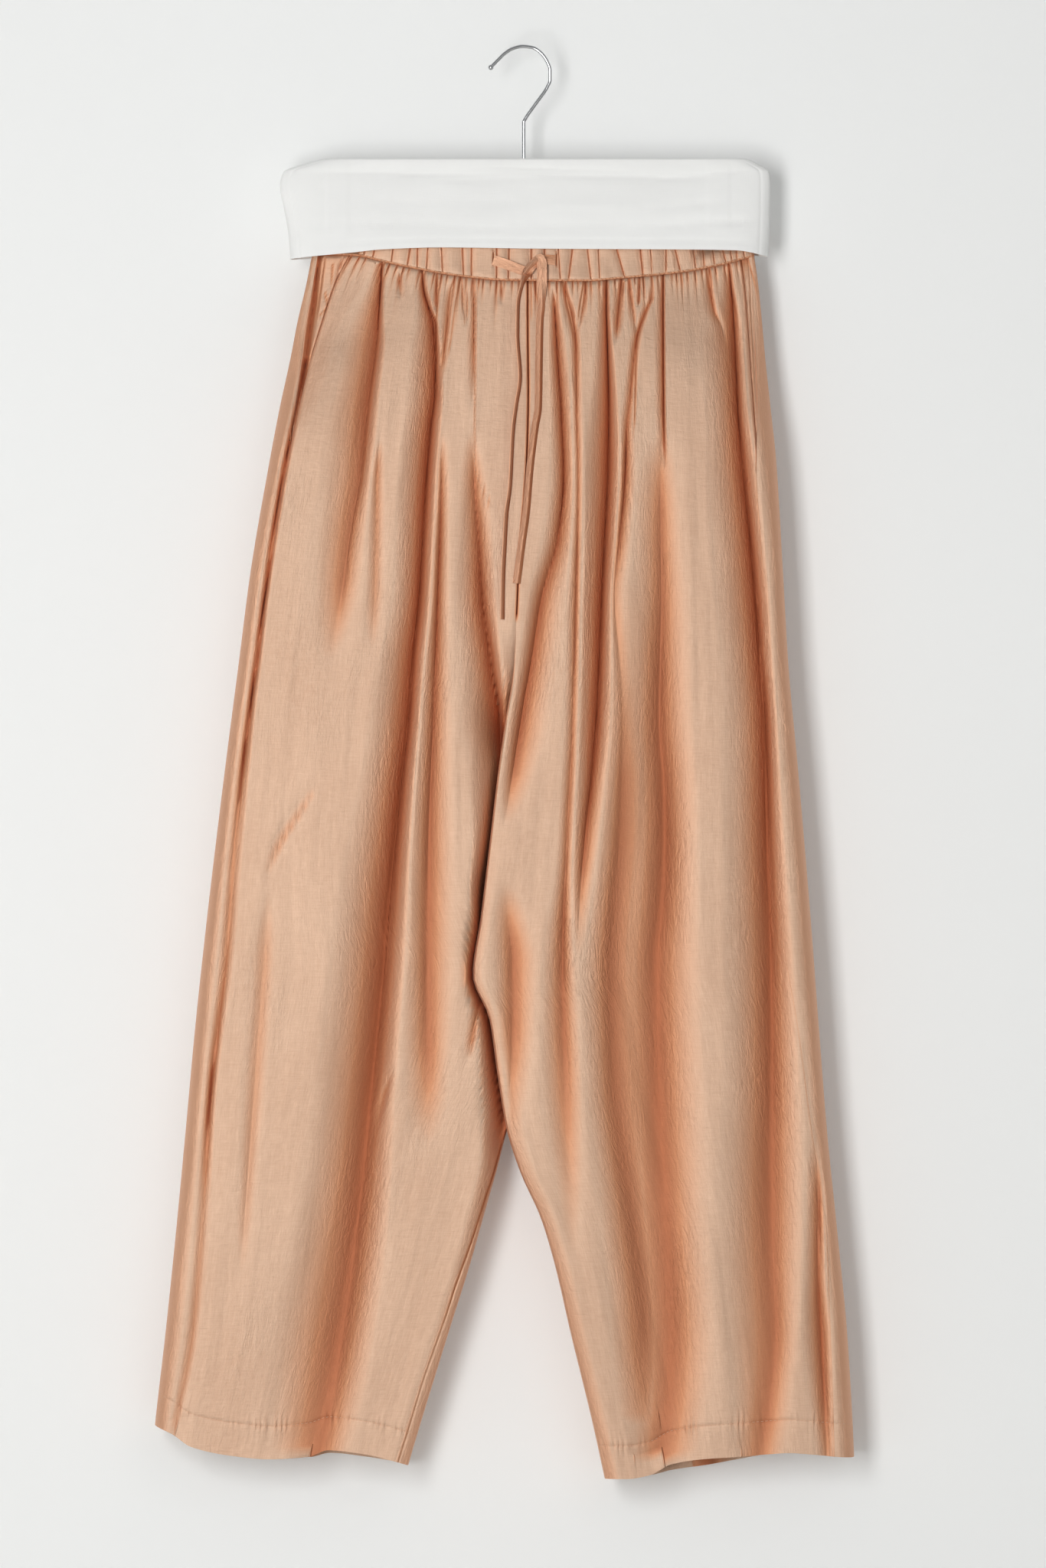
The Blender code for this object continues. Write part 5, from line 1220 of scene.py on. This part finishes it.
# %% The tape's route
# lift is the tape's distance off the cloth, turn its twist about the vertical, in degrees, dark the shade
# painted on it, and split how much more its left half is turned the other way, where the tape is folded
# along its middle
Tape = namedtuple("Tape", "x z lift turn dark split", defaults=[0.0, 0.0])
TAPES = named(Tape, {
    "drawstring_left_lead": [
        (-24, -172.4, 0.1, 6), (-18, -174.2, 0.7, 12), (-11, -176.7, 0.9, 14), (-4, -179.3, 1, 16),
        (1, -181.2, 1.1, 20, 0.1), (3.6, -182.4, 1.2, 26, 0.3)],
    "drawstring_right_lead": [
        (26.2, -172.4, 0.1, 10, 0.5), (22, -172.2, 0.7, 12, 0.5), (18, -172, 0.8, 14, 0.7),
        (13, -172.4, 0.9, 15, 0.9)],
    "drawstring_left_tail": [
        (1.4, -186, 3, -50, 0.5), (-1.2, -194, 3.8, -73, 0.65), (-4.2, -209, 4, -73, 0.75),
        (-4.6, -234, 4, -73, 0.75), (-2.4, -266, 4, -73, 0.75), (-5.6, -290, 4, -73, 0.72),
        (-8.1, -310, 4, -73, 0.72), (-10.5, -355, 4, -73, 0.72), (-13.6, -379, 4, -70, 0.72),
        (-14.9, -403, 4, -70, 0.65), (-16.1, -427, 4, -70, 0.65), (-16.7, -463, 4, -70, 0.65)],
    "drawstring_right_tail": [
        (13.4, -171.4, 4.4, 10), (15.2, -176, 4.8, 8), (15.4, -184, 4.4, 10), (15, -196, 3.8, -20, 0, 42),
        (15.5, -209, 3.6, -62, 0.3, 94), (14.3, -222, 3.6, -62, 0.52, 94), (13.6, -250, 3.6, -60, 0.6, 92),
        (13, -290, 3.6, -60, 0.6, 94), (10.4, -308, 3.6, -62, 0.6, 96), (6.4, -340, 3.6, -62, 0.56, 96),
        (3.2, -376, 3.6, -60, 0.52, 94), (-0.6, -403, 3.6, -58, 0.45, 90), (-4.6, -434, 3.6, -56, 0.38, 82)],
    "drawstring_knot": [
        (2.4, -184.6, 2.2, 56, 0.6), (5, -180.6, 2.8, 62, 0.6), (8.6, -176.8, 3.4, 58, 0.55),
        (12, -173.6, 4, 44, 0.35)],
})
TAPE_WIDTH = 8.0
TAPE_THICK = 0.9
TAPE_REACH = 3.5          # rays find the cloth this far to each side of its middle
ROUTE_STEP = 6            # pieces between two points of a route
BRIDGE = 4                # and how many of them to each side a tape takes to bridge a small fold
RAY_START = 200.0


def touch(pieces, x, z, outward=-1):
    """Where a ray from the front, or from behind, first meets some pieces: its y in millimetres."""
    start, way = Vector((x, RAY_START * outward, z)) * MM, (0.0, -outward, 0.0)
    found = [piece.ray_cast(start, way) for piece in pieces]
    return outward * max([outward * place.y / MM for hit, place, _, _ in found if hit], default=-np.inf)


def cloth_front(x, z):
    """y of the foremost cloth behind a tape's middle and its two edges."""
    pieces = [bands["front"], *fronts.values()]
    return np.array([min(touch(pieces, a + reach, b) for reach in (-TAPE_REACH, 0.0, TAPE_REACH))
                     for a, b in zip(x, z)])


def tape_route(route):
    """Centre line of a tape, the way it heads, its two turns and its darkness, along its route."""
    count = (len(route) - 1) * ROUTE_STEP + 1
    x, z, lift, turn, dark, split = between(route, np.linspace(0, len(route) - 1, count))
    along_x, along_z = np.gradient(x), np.gradient(z)
    ahead = np.stack([along_x, along_z]) / np.hypot(along_x, along_z)
    y = cloth_front(x, z) - TAPE_THICK / 2 - lift
    evenly = np.ones(2 * BRIDGE + 1) / (2 * BRIDGE + 1)
    y = np.convolve(np.pad(y, BRIDGE, mode="edge"), evenly, mode="valid")
    return np.stack([x, y, z], axis=1), ahead, turn, split, dark


left_route = TAPES["drawstring_left_lead"] + TAPES["drawstring_knot"] + TAPES["drawstring_right_tail"]
right_route = TAPES["drawstring_right_lead"] + [Tape(7.0, -177.5, 2.6, 20)] + TAPES["drawstring_left_tail"]
print("the tapes follow %d and %d points" % (len(left_route), len(right_route)))

# %% Drawstring
TAPE_COLUMNS = 13
TAPE_BOW = 0.3            # how far its edges curl back
# The tapes take part of the colour painted on sideways cloth, the orange of light the cloth reflects onto
# itself.
TAPE_TURNED = 0.6         # its share of the look that sideways cloth has


def make_tape(name, route, nodes):
    middle, (ahead_x, ahead_z), turn, split, dark = tape_route(route)
    offsets = np.linspace(-1, 1, TAPE_COLUMNS)
    angle = np.radians(turn[:, None] + np.where(offsets > 0, split[:, None], 0.0))
    flat = np.cos(angle)
    across = np.stack([ahead_z[:, None] * flat, np.sin(angle), -ahead_x[:, None] * flat], axis=-1)
    points = middle[:, None] + across * offsets[None, :, None] * TAPE_WIDTH / 2
    points[:, :, 1] += TAPE_BOW * offsets**2
    # Shade painted on the tape: dark sets how much, and the half that turns from the light gets most of it
    shade = dark[:, None] * (0.12 + 0.88 * ease(3.0 * ahead_z[:, None] * flat * offsets + 0.4))
    down = running(middle)
    piece = cloth(name, points, offsets * TAPE_WIDTH / 2, -down[:, None], TAPE_THICK, crease=shade,
                  turned=TAPE_TURNED)
    settle(piece, "satin", *nodes)
    tuple(middle[0] * MM)
    (middle * MM).tolist()
    return piece


tapes = [make_tape("drawstring_left", left_route,
                   ["drawstring_left_lead", "drawstring_knot", "drawstring_right_tail"]),
         make_tape("drawstring_right", right_route, ["drawstring_right_lead", "drawstring_left_tail"])]

# %% [markdown]
# ## Stitches
# Rows of topstitching hold the hems and the inside seam, draw the mock fly and edge the two buttonholes
# of the drawstring. One stitch is shaped from a small sphere and copied along each row. Rays find the
# cloth under both of its ends, so that every copy follows the real folds.

# %% Sewing
STITCH_LONG = 2.5
STITCH_PITCH = 3.5
THREAD = 0.5              # thickness of a stitch


def one_stitch():
    bpy.ops.object.select_all(action="DESELECT")
    bpy.ops.mesh.primitive_uv_sphere_add(segments=6, ring_count=4, radius=MM / 2)
    stitch = bpy.context.object
    stitch.scale = (THREAD, THREAD, 1.0)
    bpy.ops.object.transform_apply(location=False, rotation=False, scale=True)
    bpy.ops.object.shade_smooth()
    return stitch


def sew(name, rows, pieces, outward=-1, length=STITCH_LONG, pitch=STITCH_PITCH, across=False):
    """Copies of the stitch along rows of (x, z) points, each one lying on the pieces under it."""
    stitch, copies = one_stitch(), []
    for row in rows:
        row = np.array(row, dtype=float)
        run = running(row)
        for at in np.arange(pitch / 2, run[-1] - pitch / 2, pitch):
            x, z = (np.interp((at - pitch / 4, at + pitch / 4), run, row[:, k]) for k in (0, 1))
            way = np.array([x[1] - x[0], z[1] - z[0]])
            way = way / np.linalg.norm(way) * length / 2
            way = np.array([way[1], -way[0]]) if across else way
            ends = []
            for sign in (-1, 1):
                a, b = x.mean() + sign * way[0], z.mean() + sign * way[1]
                ends.append(Vector((a, touch(pieces, a, b, outward), b)))
            if abs(ends[0].y) + abs(ends[1].y) > RAY_START:    # no cloth under one of its ends
                continue
            reach = ends[1] - ends[0]
            turn = Vector((0.0, 0.0, 1.0)).rotation_difference(reach)
            copy = add_object(stitch.name, stitch.data.copy())
            middle = (ends[0] + ends[1]) / 2 * MM
            copy.data.transform(Matrix.LocRotScale(middle, turn, (1.0, 1.0, reach.length)))
            copies.append(copy)
    bpy.data.objects.remove(stitch)
    select_only(*copies)
    bpy.ops.object.join()
    sewn = bpy.context.object
    sewn.name = name
    print("%s: %d stitches" % (name, len(copies)))
    return settle(sewn, "satin")


# %% Rows of stitches
HOLE_STITCH = {"length": 1.5, "pitch": 0.62}   # close stitches round a buttonhole
HOLE_HALF_WIDTH = 1.35
FLY = [(-38.4, -190.0), (-38.6, -262.0), (-39.1, -338.0), (-37.2, -348.4), (-32.2, -359.0), (-24.2, -373.0)]
INSEAM = [(-62.0, -1017.0), (-70.0, -1040.0), (-82.8, -1077.0), (-94.2, -1114.0), (-105.0, -1146.0)]


def hem_row(side, face):
    """The row of stitches round one face of a hem."""
    rim = edge_line(side, HEM_LEVEL)
    inner = inner_line("front_" + side, HEM_LEVEL + HEM_UP)
    margin = 3.0 * np.sign(inner - rim)
    x = np.linspace(rim + margin, inner - margin, 40)
    return np.stack([x, column(HEMS[side], face, x, key="x") + HEM_UP], axis=1)


def oval(hole):
    """The ring of stitches round a buttonhole."""
    return [(hole.x + HOLE_HALF_WIDTH * math.sin(math.radians(a)),
             hole.z + hole.half_height * math.cos(math.radians(a))) for a in range(0, 361, 10)]


threads = [sew("stitches_hem_%s_%s" % (side, face), [hem_row(side, face)], [fronts[side], backs[side]],
               OUTWARD[face]) for side in ("left", "right") for face in ("front", "back")]
threads.append(sew("stitches_inside_seam", [INSEAM], [fronts["left"]]))
threads.append(sew("stitches_mock_fly", [FLY], [fronts["left"]]))
threads.append(sew("stitches_buttonholes", [oval(hole) for hole in BUTTONHOLES], [bands["front"]],
                   across=True, **HOLE_STITCH))

# %% [markdown]
# ## Cotton cover
# The cover is a plain white sleeve, a little wider than the bar. It is soft, so long shallow wrinkles
# run along it, the clips press through a little, and its lower edge has a hem that isn't quite straight.

# %% The cover's relief
Wrinkle = namedtuple("Wrinkle", "x z depth length height slope")   # length and height are half ones
WRINKLES = named(Wrinkle, [
    (-90, -103, 0.9, 70, 4.5, -0.012), (-30, -108, 0.7, 34, 3.5, 0.03), (88, -106, 1.1, 66, 4, -0.02),
    (150, -103, 0.6, 30, 4, 0.07), (30, -99, 0.5, 50, 3, -0.03), (20, -147, 0.9, 90, 6, 0),
    (150, -143.5, 1.3, 46, 5, 0.055), (-120, -145, 0.7, 60, 6, -0.02), (136, -128, 0.8, 26, 3, 0.1),
    (-60, -128, 0.6, 80, 12, 0.02), (70, -130, -0.7, 60, 10, 0.03),
])
WRINKLE_DEPTH = 1.6
COVER_SEAM = 7.5          # from each end to its upright seam
HEM_STRIP = 6.5           # height of the hemmed strip
CLIP_WIDTH = 18.0
CLIP_FOOT = -151.0
CLIP_PRESS = 0.45         # how far the clips show through


def cover_relief(x, z, left, right, hem):
    """How far the cover stands out: wrinkles, the hemmed strip, the end seams and the clips behind it."""
    relief = np.zeros_like(x)
    for wrinkle in WRINKLES:
        length = np.exp(-((x - wrinkle.x) / wrinkle.length) ** 4)
        offset = (z - wrinkle.z - wrinkle.slope * (x - wrinkle.x)) / wrinkle.height
        height = np.exp(-np.abs(offset) ** 1.5)
        relief = relief - WRINKLE_DEPTH * wrinkle.depth * length * height * np.where(offset > 0, 1.0, 0.6)
    for end in (left + COVER_SEAM, right - COVER_SEAM):
        relief = relief - 0.5 * dip(x - end, 1.2)
    for centre in CLIP_CENTRES.values():
        wide = ease((CLIP_WIDTH / 2 + 1.5 - np.abs(x - centre)) / 3.0)
        relief = relief + CLIP_PRESS * wide * ease((z - CLIP_FOOT) / 3.0)
    strip = z - hem
    relief = relief + 0.35 * ease((HEM_STRIP - strip) / 1.2) - 0.5 * dip(strip - HEM_STRIP, 0.9)
    return relief


print("%d wrinkles in the cover" % len(WRINKLES))

# %% Cover
Ring = namedtuple("Ring", "z left right half_depth")
COVER_RINGS = named(Ring, [
    (-166, -188, 198, 18.5), (-150, -189.5, 199, 17), (-130, -193, 199.6, 14), (-112, -196.5, 199.8, 10.8),
    (-100.5, -193.6, 199, 9.2), (-94.5, -178, 190.5, 8.8), (-91, -166, 184, 8.3), (-89.8, -160, 180, 6.4),
])
CoverHem = namedtuple("CoverHem", "x z")
COVER_HEM = named(CoverHem, [
    (-188, -171), (-140, -166.6), (-112, -163.8), (-66, -162.3), (10, -163.3), (131, -164), (172, -164.6),
    (198, -169),
])
COVER_AROUND = 460
COVER_ROWS = 46
HOOK_X = 0.6              # the hook's shank stands here, in a hole of this radius
HOOK_HOLE = 2.4


def cover_cloth():
    angle = np.linspace(0, 2 * np.pi, COVER_AROUND, endpoint=False)
    foot, top = COVER_RINGS[0].z, COVER_RINGS[-1].z
    z, left, right, depth = between(COVER_RINGS, np.linspace(0, len(COVER_RINGS) - 1, COVER_ROWS)[:, None])
    middle, half = (left + right) / 2, (right - left) / 2
    cos, sin = np.cos(angle), np.sin(angle)
    x = middle + half * np.sign(cos) * np.abs(cos) ** 0.9
    across = np.abs(x - middle) / half
    face = np.sign(np.round(sin, 6))
    y = depth * face * np.sqrt(np.maximum(1 - across**16, 0.0))
    hem = column(COVER_HEM, "z", x, key="x")
    share = (z - foot) / (top - foot)
    z = z + (hem - foot) * (1 - share) ** 3
    y = y + face * cover_relief(x, z, left, right, hem) * ease((1 - across) / 0.02) * ease((1 - share) / 0.1)
    ring_x, ring_y = HOOK_X + HOOK_HOLE * np.cos(angle), HOOK_HOLE * np.sin(angle)
    rings = [np.stack([x, y, z], axis=-1)]
    for part in (0.25, 0.5, 0.75, 1.0):
        last_x, last_y = x[-1] * (1 - part) + ring_x * part, y[-1] * (1 - part) + ring_y * part
        rings.append(np.stack([last_x, last_y, np.full_like(last_x, top)], axis=-1)[None])
    points = np.concatenate(rings)
    piece = cloth("hanger_cover_cloth", points, running(points[0]), points[:, :, 2], COTTON_WALL, closed=True)
    return settle(piece, "cover_cotton", "hanger_cover")


cover = cover_cloth()

# %% [markdown]
# ## Hook
# The hook is one bent wire with a small ball melted on its tip. A curve with a round bevel follows the
# bends exactly, and becomes a mesh when its shape is final.

# %% Hook
HookPoint = namedtuple("HookPoint", "x z")
HOOK = named(HookPoint, [
    (-26, -15.5), (-20.5, -9.8), (-14.3, -3.9), (-8, -0.2), (-0.6, 1.5), (7.4, 0.6), (14.3, -3.6),
    (19.2, -10.2), (21.9, -18), (21.9, -25.5), (19.4, -32), (10, -45.4), (2.2, -56.6), (0.6, -60.4),
    (0.6, -74), (0.6, -92.6),
])
WIRE = 3.0
HOOK_TIP = 4.6            # ball on the hook's tip
WIRE_STEP = 8


def hook_wire():
    x, z = between(HOOK, np.linspace(0, len(HOOK) - 1, WIRE_STEP * len(HOOK)))
    curve = bpy.data.curves.new("hook_line", "CURVE")
    curve.dimensions = "3D"
    curve.bevel_depth = WIRE / 2 * MM
    curve.bevel_resolution = 5
    curve.use_fill_caps = True
    spline = curve.splines.new("POLY")
    spline.points.add(len(x) - 1)
    for point, a, b in zip(spline.points, x, z):
        point.co = (a * MM, 0.0, b * MM, 1.0)
    wire = add_object("hanger_hook_wire", curve)
    select_only(wire)
    bpy.ops.object.convert(target="MESH")
    bpy.ops.mesh.primitive_uv_sphere_add(segments=24, ring_count=14, radius=HOOK_TIP / 2 * MM,
                                         location=(HOOK[0].x * MM, 0.0, HOOK[0].z * MM))
    select_only(wire, bpy.context.object)
    bpy.ops.object.join()
    bpy.ops.object.transform_apply(location=True, rotation=True, scale=True)
    bpy.ops.object.shade_smooth_by_angle(angle=math.radians(50))
    return settle(wire, "hook_chrome", "hanger_hook")


hook = hook_wire()
print("hook:", len(hook.data.polygons), "faces")

# %% [markdown]
# ## Crinkled satin
# The cloth is a washed satin: its long warp threads run down the leg and reflect the light in soft
# streaks, the washing has left short crinkles, and worn patches are rougher than the rest. Every pattern
# is a noise on the UV map, stretched along the warp or along the weft. The shade in the folds is painted:
# the crease attribute darkens the colour there in three steps, from the orange of the light that the
# cloth reflects onto itself to a deep brown. Where the cloth faces sideways, which turned tells, a more
# orange colour is painted on for that reflected light, its crinkle is painted with streaks of light and
# dark for the glints it catches, and its bump is stronger.

# %% Satin
def satin_finish():
    satin = Finish("crinkled_satin", Metallic=0.76, Sheen_Weight=0.03, Sheen_Roughness=0.5,
                   Sheen_Tint=(1.0, 0.90, 0.80, 1.0), Specular_IOR_Level=0.35)
    place = satin.uv()
    weft = satin.noise(place, (70.0, 1050.0, 1.0), 2.0, 0.6)
    warp = satin.noise(place, (1050.0, 60.0, 1.0), 2.0, 0.6)
    crinkle = satin.noise(place, (400.0, 95.0, 1.0), 3.0, 0.65, 0.8)
    washed = satin.noise(place, (75.0, 260.0, 1.0), 3.0, 0.55, 0.6)
    patch = satin.noise(place, (18.0, 9.0, 1.0), 2.0)
    lively = satin.spread(patch, 0.35, 0.7, 0.35)
    slanted = satin.spread(satin.attribute("turned"), 0.08, 0.50)
    worn = satin.spread(satin.noise(place, (11.0, 5.0, 1.0), 2.0), 0.48, 0.66)
    ragged = 0.35 + 3.2 * slanted + 1.5 * worn
    drape = satin.noise(place, (42.0, 4.0, 1.0), 2.0)
    satin.bump(0.00006 * weft + 0.00006 * warp + 0.00036 * crinkle * lively * ragged + 0.00022 * washed
               + 0.0012 * drape)
    # On sideways cloth the crinkle's streaks of colour are painted glints; in worn patches they are wear
    tone = (0.55 + 0.45 * (weft - 0.5) + 0.55 * (warp - 0.5) + 0.5 * (patch - 0.5)
            + (crinkle - 0.5) * (1.7 * slanted + 0.9 * worn))
    tone = tone.math("MAXIMUM", 0.0).math("MINIMUM", 1.0)
    colour = satin.blend(tone, hexa(190, 152, 126), hexa(224, 193, 168))
    # Painted light: sideways cloth gets a more orange colour, for the light it reflects onto itself
    colour = satin.blend(slanted, colour, hexa(226, 177, 145))
    # Painted shade in folds, puckers, seams and gaps, in three steps from orange to dark brown
    crease = satin.attribute("crease")
    colour = satin.blend(satin.spread(crease, 0.04, 0.42, 0.0, 0.7), colour, hexa(212, 143, 98))
    colour = satin.blend(satin.spread(crease, 0.36, 0.90), colour, hexa(159, 78, 42))
    colour = satin.blend(satin.spread(crease, 0.78, 1.0, 0.0, 0.9), colour, hexa(84, 38, 22))
    satin.surface("Base Color", colour)
    satin.surface("Roughness", 0.56 + 0.12 * crinkle)
    return satin.material


def thread_finish():
    thread = Finish("sewing_thread", Metallic=0.35, Specular_IOR_Level=0.4)
    twist = thread.noise(thread.object_place(), (2600.0, 2600.0, 2600.0), 2.0)
    thread.surface("Base Color", thread.blend(twist, hexa(196, 152, 122), hexa(232, 198, 170)))
    thread.surface("Roughness", 0.42 + 0.2 * twist)
    return thread.material


paint(threads, thread_finish())
satin_pieces = [*fronts.values(), *backs.values(), *facings.values(), *bands.values(), *tapes]
paint(satin_pieces, satin_finish())
print("%d pieces of satin, %d rows of thread" % (len(satin_pieces), len(threads)))

# %% [markdown]
# ## Cotton, chrome and the hidden parts
# The cover is a plain woven cotton, matt and faintly uneven. The hook is bright chrome. The bar and the
# clips are hidden, but they are seen from below, so they get a finish too.

# %% Cotton
def cotton_finish():
    cotton = Finish("cover_cotton", Roughness=0.9, Specular_IOR_Level=0.25, Sheen_Weight=0.15)
    place = cotton.uv()
    warp = cotton.noise(place, (1500.0, 90.0, 1.0), 1.0)
    weft = cotton.noise(place, (90.0, 1500.0, 1.0), 1.0)
    soft = cotton.noise(place, (18.0, 40.0, 1.0), 2.0)
    cotton.bump(0.00005 * warp + 0.00005 * weft + 0.0009 * soft)
    cotton.surface("Base Color", cotton.blend(soft, hexa(246, 246, 244), hexa(252, 252, 250)))
    return cotton.material


paint([cover], cotton_finish())
print("cotton:", len(cover.data.materials[0].node_tree.nodes), "nodes")

# %% Metal and plastic
def metal_finish(name, colour, roughness, streaks):
    metal = Finish(name, Metallic=1.0, Base_Color=hexa(*colour))
    drawn = metal.noise(metal.object_place(), streaks, 2.0)
    metal.surface("Roughness", roughness + 0.12 * drawn)
    return metal.material


def bar_finish():
    plastic = Finish("bar_plastic", Base_Color=hexa(190, 190, 188))
    grain = plastic.noise(plastic.object_place(), (400.0, 400.0, 400.0), 2.0)
    plastic.surface("Roughness", 0.4 + 0.2 * grain)
    plastic.bump(0.00003 * grain)
    return plastic.material


paint([hook], metal_finish("hook_chrome", (205, 206, 208), 0.06, (300.0, 300.0, 60.0)))
paint([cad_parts[name] for name in CLIP_CENTRES],
      metal_finish("clip_steel", (180, 181, 184), 0.22, (60.0, 60.0, 900.0)))
paint([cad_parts["hanger_bar"]], bar_finish())
print("materials:", sorted(material.name for material in bpy.data.materials if material.users))

# %% [markdown]
# ## Studio
# A pale wall stands just behind the trousers, over a pale floor. Both are see-through from behind, so
# that the back of the trousers can be looked at too. One tall soft light stands to the left of the
# camera and a weak one to its right, and the pale room fills the shadows. The wall also glows faintly,
# painted light that lightens the shadows cast on it.

# %% Wall and floor
WALL_Y = 0.040
WALL_SIZE = 6.0
FLOOR_Z = -1.45
FLOOR_SIZE = 8.0


def pale_finish(name, colour, glow):
    pale = Finish(name, Roughness=0.9, Specular_IOR_Level=0.1, Emission_Color=hexa(255, 255, 255),
                  Emission_Strength=glow)
    grain = pale.noise(pale.object_place(), (3.0, 3.0, 3.0), 2.0)
    pale.surface("Base Color", pale.blend(grain, hexa(*colour), hexa(*[c - 2 for c in colour])))
    back = pale.node("ShaderNodeNewGeometry", output="Backfacing")
    clear = pale.node("ShaderNodeBsdfTransparent")
    solid = Value(pale, pale.shader.outputs[0])
    mixed = pale.node("ShaderNodeMixShader", None, {0: back, 1: solid, 2: clear})
    pale.tree.links.new(mixed.socket, pale.tree.nodes["Material Output"].inputs["Surface"])
    return pale.material


def backdrop(name, size, place, turn, colour, glow):
    bpy.ops.mesh.primitive_plane_add(size=size, location=place, rotation=turn)
    plane = bpy.context.object
    plane.name = name
    bpy.ops.object.transform_apply(location=True, rotation=True, scale=True)
    paint([plane], pale_finish(name, colour, glow))


# The wall's faint glow is painted light, which lightens the shadows cast on it
backdrop("studio_wall", WALL_SIZE, (0.0, WALL_Y, FLOOR_Z + WALL_SIZE / 2), (math.radians(90), 0.0, 0.0),
         (241, 242, 241), 0.08)
backdrop("studio_floor", FLOOR_SIZE, (0.0, WALL_Y - FLOOR_SIZE / 2, FLOOR_Z), (0.0, 0.0, 0.0),
         (226, 226, 223), 0.0)
print("wall %.0f mm behind the hook" % (WALL_Y / MM))

# %% Lights
LIT = (0.0, 0.0, -0.6)    # both lights face this place
ROOM_STRENGTH = 0.28


def soft_light(name, place, size, power):
    light = bpy.data.lights.new(name, "AREA")
    light.shape = "RECTANGLE"
    light.size, light.size_y = size
    light.energy = power
    lamp = add_object(name, light)
    lamp.location = place
    lamp.rotation_euler = (Vector(LIT) - Vector(place)).to_track_quat("-Z", "Y").to_euler()


soft_light("key_light", (-0.98, -3.4, -0.74), (0.8, 2.6), 84.0)
soft_light("fill_light", (1.2, -3.4, 0.2), (1.6, 2.0), 6.0)
room = bpy.data.worlds.new("pale_room")
room.use_nodes = True
room.node_tree.nodes["Background"].inputs["Color"].default_value = (1.0, 1.0, 1.0, 1.0)
room.node_tree.nodes["Background"].inputs["Strength"].default_value = ROOM_STRENGTH
bpy.context.scene.world = room
print("lights:", {lamp.name: lamp.energy for lamp in bpy.data.lights})

# %% [markdown]
